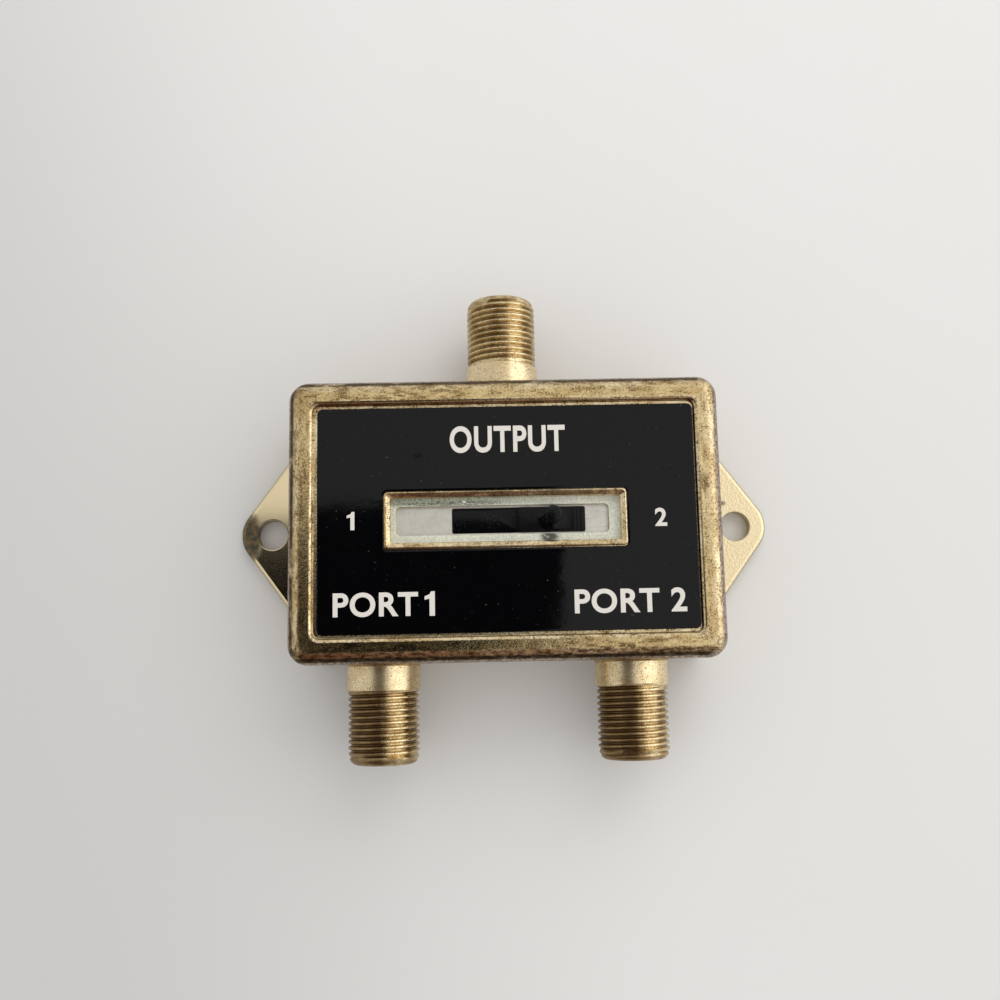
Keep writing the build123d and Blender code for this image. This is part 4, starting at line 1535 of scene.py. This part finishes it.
@dataclass
class ThreadCutter:
    """The rule that cuts a right-hand thread with a run-out into a turned blank.

    The root and flank shares are shares of the pitch, as the thread looks in the photograph.
    """

    pitch: float = 0.79375
    root_radius: float = 4.3825
    depth: float = 0.38
    root_share: float = 0.16
    flank_share: float = 0.275
    start: float = 3.45
    end: float = 12.9
    fade: float = 0.3

    def tree(self) -> Tree:
        """Build the node tree: each point sinks to the cutter's surface where the cutter reaches it.

        Returns:
            A tree that reads the blank's point attributes: axial and radius in millimetres, turn
            as a share, outside, and radial, the direction out from the axis.
        """
        sizes = ("Pitch", "Root Radius", "Depth", "Root Share", "Flank Share", "Start", "End", "Fade")
        tree = new_rule("thread_cutter", {size: "Float" for size in sizes})
        given = add_node(tree, "NodeGroupInput").outputs

        def read(name: str, kind: str = "FLOAT") -> Socket:
            """Read one of the blank's attributes."""
            return add_node(tree, "GeometryNodeInputNamedAttribute", {"Name": name}, data_type=kind).outputs[0]

        def reckon(operation: str, *values: Any) -> Socket:
            """Work out one step of the rule."""
            return add_node(tree, "ShaderNodeMath", dict(enumerate(values)), operation=operation).outputs[0]

        turn, radius = read("turn"), read("radius")
        number = reckon("SUBTRACT", reckon("DIVIDE", read("axial"), given["Pitch"]), turn)
        groove = reckon("ROUND", number)
        aside = reckon("ABSOLUTE", reckon("SUBTRACT", number, groove))
        middle = reckon("MULTIPLY", reckon("ADD", groove, turn), given["Pitch"])
        root_edge = reckon("MULTIPLY", given["Root Share"], 0.5)
        climb = add_node(tree, "ShaderNodeMapRange", {
            "Value": aside, "From Min": root_edge,
            "From Max": reckon("ADD", root_edge, given["Flank Share"])}).outputs["Result"]
        cutter = reckon("ADD", given["Root Radius"], reckon("MULTIPLY", climb, given["Depth"]))
        begun, ended = [add_node(tree, "ShaderNodeMapRange", {
            "Value": middle, "From Min": given[edge], "From Max": reckon(way, given[edge], given["Fade"])},
            interpolation_type="SMOOTHSTEP").outputs["Result"]
            for edge, way in (("Start", "ADD"), ("End", "SUBTRACT"))]
        reach = reckon("MULTIPLY", begun, ended)
        over = reckon("MAXIMUM", 0.0, reckon("SUBTRACT", radius, cutter))
        sink = reckon("MULTIPLY", reckon("MULTIPLY", over, reach), read("outside"))
        offset = add_node(tree, "ShaderNodeVectorMath", {
            0: read("radial", "FLOAT_VECTOR"), "Scale": reckon("MULTIPLY", sink, -MM)},
            operation="SCALE").outputs[0]
        moved = add_node(tree, "GeometryNodeSetPosition", {
            "Geometry": given["Geometry"], "Offset": offset}).outputs[0]
        marked = add_node(tree, "GeometryNodeStoreNamedAttribute", {
            "Geometry": moved, "Name": "groove", "Value": reckon("DIVIDE", sink, given["Depth"])},
            data_type="FLOAT", domain="POINT").outputs[0]
        return end_rule(tree, marked, given["Finish"])

    def cut(self, blank: Thing, finish: Finish) -> Thing:
        """Cut the thread into a blank.

        Args:
            blank: the turned blank with its attributes.
            finish: the finish of the cut piece.
        Returns:
            The blank, threaded, as a plain mesh.
        """
        tree = bpy.data.node_groups.get("thread_cutter") or self.tree()
        return follow_rule(blank, tree, {
            "Pitch": self.pitch, "Root Radius": self.root_radius, "Depth": self.depth,
            "Root Share": self.root_share, "Flank Share": self.flank_share,
            "Start": self.start, "End": self.end, "Fade": self.fade, "Finish": finish.material()})


@dataclass
class CoaxConnector:
    """One threaded connector: the turned barrel with its shoulder, thread and rounded end."""

    name: str
    x: float
    way: Way
    start_turn: float
    cutter: ThreadCutter = field(default_factory=ThreadCutter)
    wall_y: float = 18.65
    height: float = 8.3
    shoulder_radius: float = 4.95
    shoulder_length: float = 3.45
    shoulder_ease: float = 0.12
    thread_radius: float = 4.7625
    reach: float = 13.2
    end_length: float = 1.5
    end_drop: float = 1.1
    bore_radius: float = 3.1
    spigot_radius: float = 4.2
    spigot_end: float = -3.0
    around: int = 128
    steps_per_pitch: int = 16

    def profile(self) -> list[tuple[float, float, float]]:
        """Give the blank's outline from the back of its spigot, over the outside and down the bore.

        Returns:
            Rows of distance from the wall, radius, and 1 where the thread may be cut.
        """
        rows = [(self.spigot_end, self.spigot_radius, 0.0), (-0.02, self.spigot_radius, 0.0),
                (0.0, self.spigot_radius + 0.02, 0.0), (0.0, self.shoulder_radius - 0.05, 0.0),
                (0.03, self.shoulder_radius, 0.0)]
        rows += [(axial, self.shoulder_radius, 1.0) for axial in np.linspace(0.3, self.shoulder_length - 0.9, 4)]
        step = self.cutter.pitch / self.steps_per_pitch
        land = self.reach - self.end_length
        count = int((land - (self.shoulder_length - 0.8)) / step)
        for axial in np.linspace(self.shoulder_length - 0.8, land, count):
            share = min(1.0, max(0.0, (axial - self.shoulder_length) / self.shoulder_ease))
            rows.append((axial, self.shoulder_radius + (self.thread_radius - self.shoulder_radius) * share, 1.0))
        for turn in np.linspace(0, math.pi / 2, 10)[1:]:
            rows.append((land + self.end_length * math.sin(turn),
                         self.thread_radius - self.end_drop * (1 - math.cos(turn)), 1.0))
        rows += [(self.reach, self.bore_radius + 0.15, 0.0), (self.reach - 0.04, self.bore_radius + 0.04, 0.0),
                 (self.reach - 0.15, self.bore_radius, 0.0), (self.reach - 1.5, self.bore_radius, 0.0),
                 (self.spigot_end, self.bore_radius, 0.0)]
        return rows

    def blank(self) -> Thing:
        """Turn the blank about the connector's axis, with the attributes that the cutter reads.

        Returns:
            The blank as one closed skin of rings.
        """
        rows = self.profile()
        turns = np.linspace(0, 1, self.around, endpoint=False)
        out = np.stack([np.sin(2 * math.pi * turns) * self.way.value, np.zeros(self.around),
                        np.cos(2 * math.pi * turns)], axis=-1)
        axis = np.array((self.x, self.way.value * self.wall_y, self.height))
        forward = np.array((0.0, self.way.value, 0.0))
        rings = [axis + forward * axial + out * radius for axial, radius, _ in rows]
        points, faces = loft(rings)
        blank = make_object(f"{self.name}_barrel_threaded", points, faces, (TURNED_GOLD,))
        axial, radius, outside = [np.repeat(column, self.around) for column in zip(*rows)]
        values = {
            "axial": axial, "radius": radius, "outside": outside,
            "turn": np.tile((turns + self.start_turn) % 1.0, len(rows)),
            "threaded": np.clip((axial - self.shoulder_length + 0.1) / 0.2, 0, 1)}
        for name, numbers in values.items():
            blank.data.attributes.new(name, "FLOAT", "POINT").data.foreach_set("value", numbers)
        radial = blank.data.attributes.new("radial", "FLOAT_VECTOR", "POINT")
        radial.data.foreach_set("vector", np.tile(out, (len(rows), 1)).ravel())
        return blank

    def build(self) -> list[Thing]:
        """Make the barrel and dress the insulator and the contact in it.

        Returns:
            The connector's pieces.
        """
        barrel = self.cutter.cut(self.blank(), TURNED_GOLD)
        if not faces_outward(barrel.data):
            barrel.data.flip_normals()
        barrel.data.set_sharp_from_angle(angle=math.radians(70))
        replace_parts(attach(barrel, "case"), f"{self.name}_barrel")
        insulator = EasedNode(f"{self.name}_insulator", "case", "insulator_plastic", IVORY, 0.12).build()
        contact = dress(f"{self.name}_contact", BRONZE)
        return [barrel, insulator, contact]


def faces_outward(mesh: bpy.types.Mesh) -> bool:
    """Tell whether a closed mesh's faces point out of it, by the sign of its volume."""
    mesh.calc_loop_triangles()
    corners = np.array([[mesh.vertices[index].co[:] for index in triangle.vertices]
                        for triangle in mesh.loop_triangles])
    corners = corners - corners.reshape(-1, 3).mean(0)
    return float(np.einsum("ij,ij->i", corners[:, 0], np.cross(corners[:, 1], corners[:, 2])).sum()) > 0


def dress(node: str, finish: Finish) -> Thing:
    """Give a CAD node whose shape is right its finish.

    Args:
        node: the node's name.
        finish: its finish.
    Returns:
        The node's object.
    """
    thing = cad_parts[node]
    thing.data.materials.clear()
    thing.data.materials.append(finish.material())
    return thing


@dataclass
class SlideSwitch:
    """The slide switch: the slider, the steel frame behind the window and what is inside."""

    def build(self) -> list[Thing]:
        """Make the eased slider and dress the frame, board, contacts and detent.

        Returns:
            The switch's pieces.
        """
        made = [EasedNode("slider", "slider", "slider_plastic", NYLON, 0.07).build()]
        made += [dress("switch_frame", NICKELLED),
                 dress("switch_board", BOARD)]
        made += [dress(f"contact_clip_{row}", BRONZE) for row in "ab"]
        made += [dress("detent_ball", BALL), dress("detent_spring", SPRING)]
        made += [dress(f"terminal_{column}_{row}", LUGS)
                 for column in ("1", "common", "2") for row in "ab"]
        return made + [dress(f"{end}_link_wire", TINNED)
                       for end in ("output", "input_1", "input_2")]


@dataclass
class BackCover:
    """The stamped cover plate that closes the back."""

    def build(self) -> Thing:
        """Make the cover with its edges eased by the press."""
        return EasedNode("back_cover", "case", "gold_plated_steel", COVER_PLATING, 0.12).build()


@dataclass
class Studio:
    """The pale table, the room's light, a lamp at the upper right and the camera.

    The room's directions are unit vectors. A window at the right, and what stands dark in the
    room before the object, show in mirrored light alone. Angles are radians.
    """

    lens: float = 38.70
    place: tuple[float, float, float] = (-2.147, -17.857, 156.106)
    pitch: float = 0.143980
    roll: float = -0.020156
    lean: float = -0.010558
    room_turn: Fade = (-0.6, 0.6)
    room_left: float = 0.70
    room_right: float = 1.0
    window_level: float = 1.7
    window_way: tuple[float, float, float] = (0.80, 0.16, 0.58)
    window_rim: Fade = (0.84, 0.94)
    dark_along: Fade = (-0.26, -0.36)
    dark_aside: Fade = (0.8, 0.6)
    dark_right: Fade = (-0.12, 0.22)
    dark_low: Fade = (0.5, 0.3)
    lamp_place: tuple[float, float, float] = (130.0, 280.0, 260.0)
    lamp_size: float = 320.0
    lamp_power: float = 0.36
    table_reach: float = 2500.0
    table_drop: float = 0.02
    flag_height: float = 160.0
    flag: tuple[tuple[float, float], ...] = ((-96, -62), (6, -62), (16, -20), (17.5, 22.5), (-96, 22.5))

    def camera(self) -> None:
        """Put the camera where the photograph was taken from."""
        data = bpy.data.cameras.new("camera")
        data.lens, data.sensor_width, data.clip_start = self.lens, 36.0, 0.01
        camera = link_object("camera", data)
        turned = (Matrix.Rotation(self.lean, 4, "Y") @ Matrix.Rotation(self.pitch, 4, "X")
                  @ Matrix.Rotation(self.roll, 4, "Z"))
        camera.matrix_world = Matrix.Translation(Vector(self.place) * MM) @ turned
        bpy.context.scene.camera = camera

    def room(self) -> None:
        """Light the scene from a plain room that is a little brighter on the right."""
        world = bpy.data.worlds.new("room")
        bpy.context.scene.world = world
        world.use_nodes = True
        tree = world.node_tree
        tree.nodes.clear()
        direction = add_node(tree, "ShaderNodeTexCoord").outputs["Generated"]
        across, along, up = add_node(tree, "ShaderNodeSeparateXYZ", {0: direction}).outputs
        level = add_node(tree, "ShaderNodeMapRange", {
            "Value": across, "From Min": self.room_turn[0], "From Max": self.room_turn[1],
            "To Min": self.room_left, "To Max": self.room_right}).outputs["Result"]
        aside = add_node(tree, "ShaderNodeMath", {0: across}, operation="ABSOLUTE").outputs[0]
        mirrored = add_node(tree, "ShaderNodeLightPath").outputs["Is Glossy Ray"]
        near = times(tree, ramp(tree, along, *self.dark_along), ramp(tree, aside, *self.dark_aside), mirrored,
                     laid_over(tree, 1.0, ((ramp(tree, across, *self.dark_right), 0.6),)))
        facing = add_node(tree, "ShaderNodeVectorMath", {0: direction, 1: self.window_way},
                          operation="DOT_PRODUCT").outputs["Value"]
        level = laid_over(tree, level, (
            (times(tree, ramp(tree, facing, *self.window_rim), mirrored), self.window_level),))
        colour = laid_over(tree, Tint.ROOM_LIGHT, (
            (near, Tint.ROOM_BROWN), (times(tree, near, ramp(tree, up, *self.dark_low)), Tint.ROOM_DARK)))
        light = add_node(tree, "ShaderNodeBackground", {"Color": colour, "Strength": level}).outputs[0]
        add_node(tree, "ShaderNodeOutputWorld", {"Surface": light})

    def table(self) -> None:
        """Lay the pale table under the object."""
        reach = self.table_reach
        points = [(x, y, -self.table_drop) for x, y in (
            (-reach, -reach), (reach, -reach), (reach, reach), (-reach, reach))]
        make_object("table", np.array(points), [(0, 1, 2, 3)], (TableLaminate(),))

    def lamp(self) -> None:
        """Hang one soft lamp at the upper right."""
        data = bpy.data.lights.new("lamp", "AREA")
        data.shape, data.size, data.energy = "DISK", self.lamp_size * MM, self.lamp_power
        lamp = link_object("lamp", data)
        place = Vector(self.lamp_place) * MM
        lamp.matrix_world = Matrix.Translation(place) @ place.to_track_quat("Z", "Y").to_matrix().to_4x4()
        lamp.visible_glossy = False

    def dark_flag(self) -> None:
        """Hang the dark flag over the object that its polished faces mirror."""
        points = np.array([(x, y, self.flag_height) for x, y in self.flag])
        flag = make_object("flag", points, [tuple(reversed(range(len(points))))], (BlackCard(),))
        flag.visible_camera = flag.visible_shadow = flag.visible_diffuse = False

    def build(self) -> None:
        """Set up the whole studio."""
        self.camera()
        self.room()
        self.table()
        self.lamp()
        self.dark_flag()
        bpy.context.scene.view_settings.view_transform = "Standard"


def main() -> None:
    """Build the studio and every sub-assembly, and report each piece."""
    logging.basicConfig(level=logging.INFO, format="%(name)s %(message)s")
    Studio().build()
    made = [CastCase().build()]
    cover_peg = ((1.2, 0.1), (1.55, 0.16), (1.7, 0.3), (1.66, 0.5),
                 (1.0, 0.5), (1.0, 1.3), (2.4, 1.3), (2.4, 15.35))
    switch_peg = ((1.0, 14.35), (1.4, 14.42), (1.5, 14.6), (1.48, 14.75), (0.9, 14.75), (0.9, 15.35))
    for name, places, profile in (
            ("cover_pegs", ((-24.7, -14.85), (24.7, -14.85), (24.7, 14.85), (-24.7, 14.85)), cover_peg),
            ("switch_pegs", ((-19.66, -0.15), (23.14, -0.15)), switch_peg)):
        made.append(CastPegs(name, places, profile).build())
    made += FaceLabel().build()
    made += SlideSwitch().build()
    for name, x, way, start in (("output", 0.0, Way.TOP, 0.35), ("input_1", -16.8, Way.BOTTOM, 0.1),
                                ("input_2", 16.8, Way.BOTTOM, 0.6)):
        made += CoaxConnector(name, x, way, start).build()
    made.append(BackCover().build())
    for piece in made:
        LOG.info("%s: %d faces", piece.name, len(piece.data.polygons))


if __name__ == "__main__":
    main()
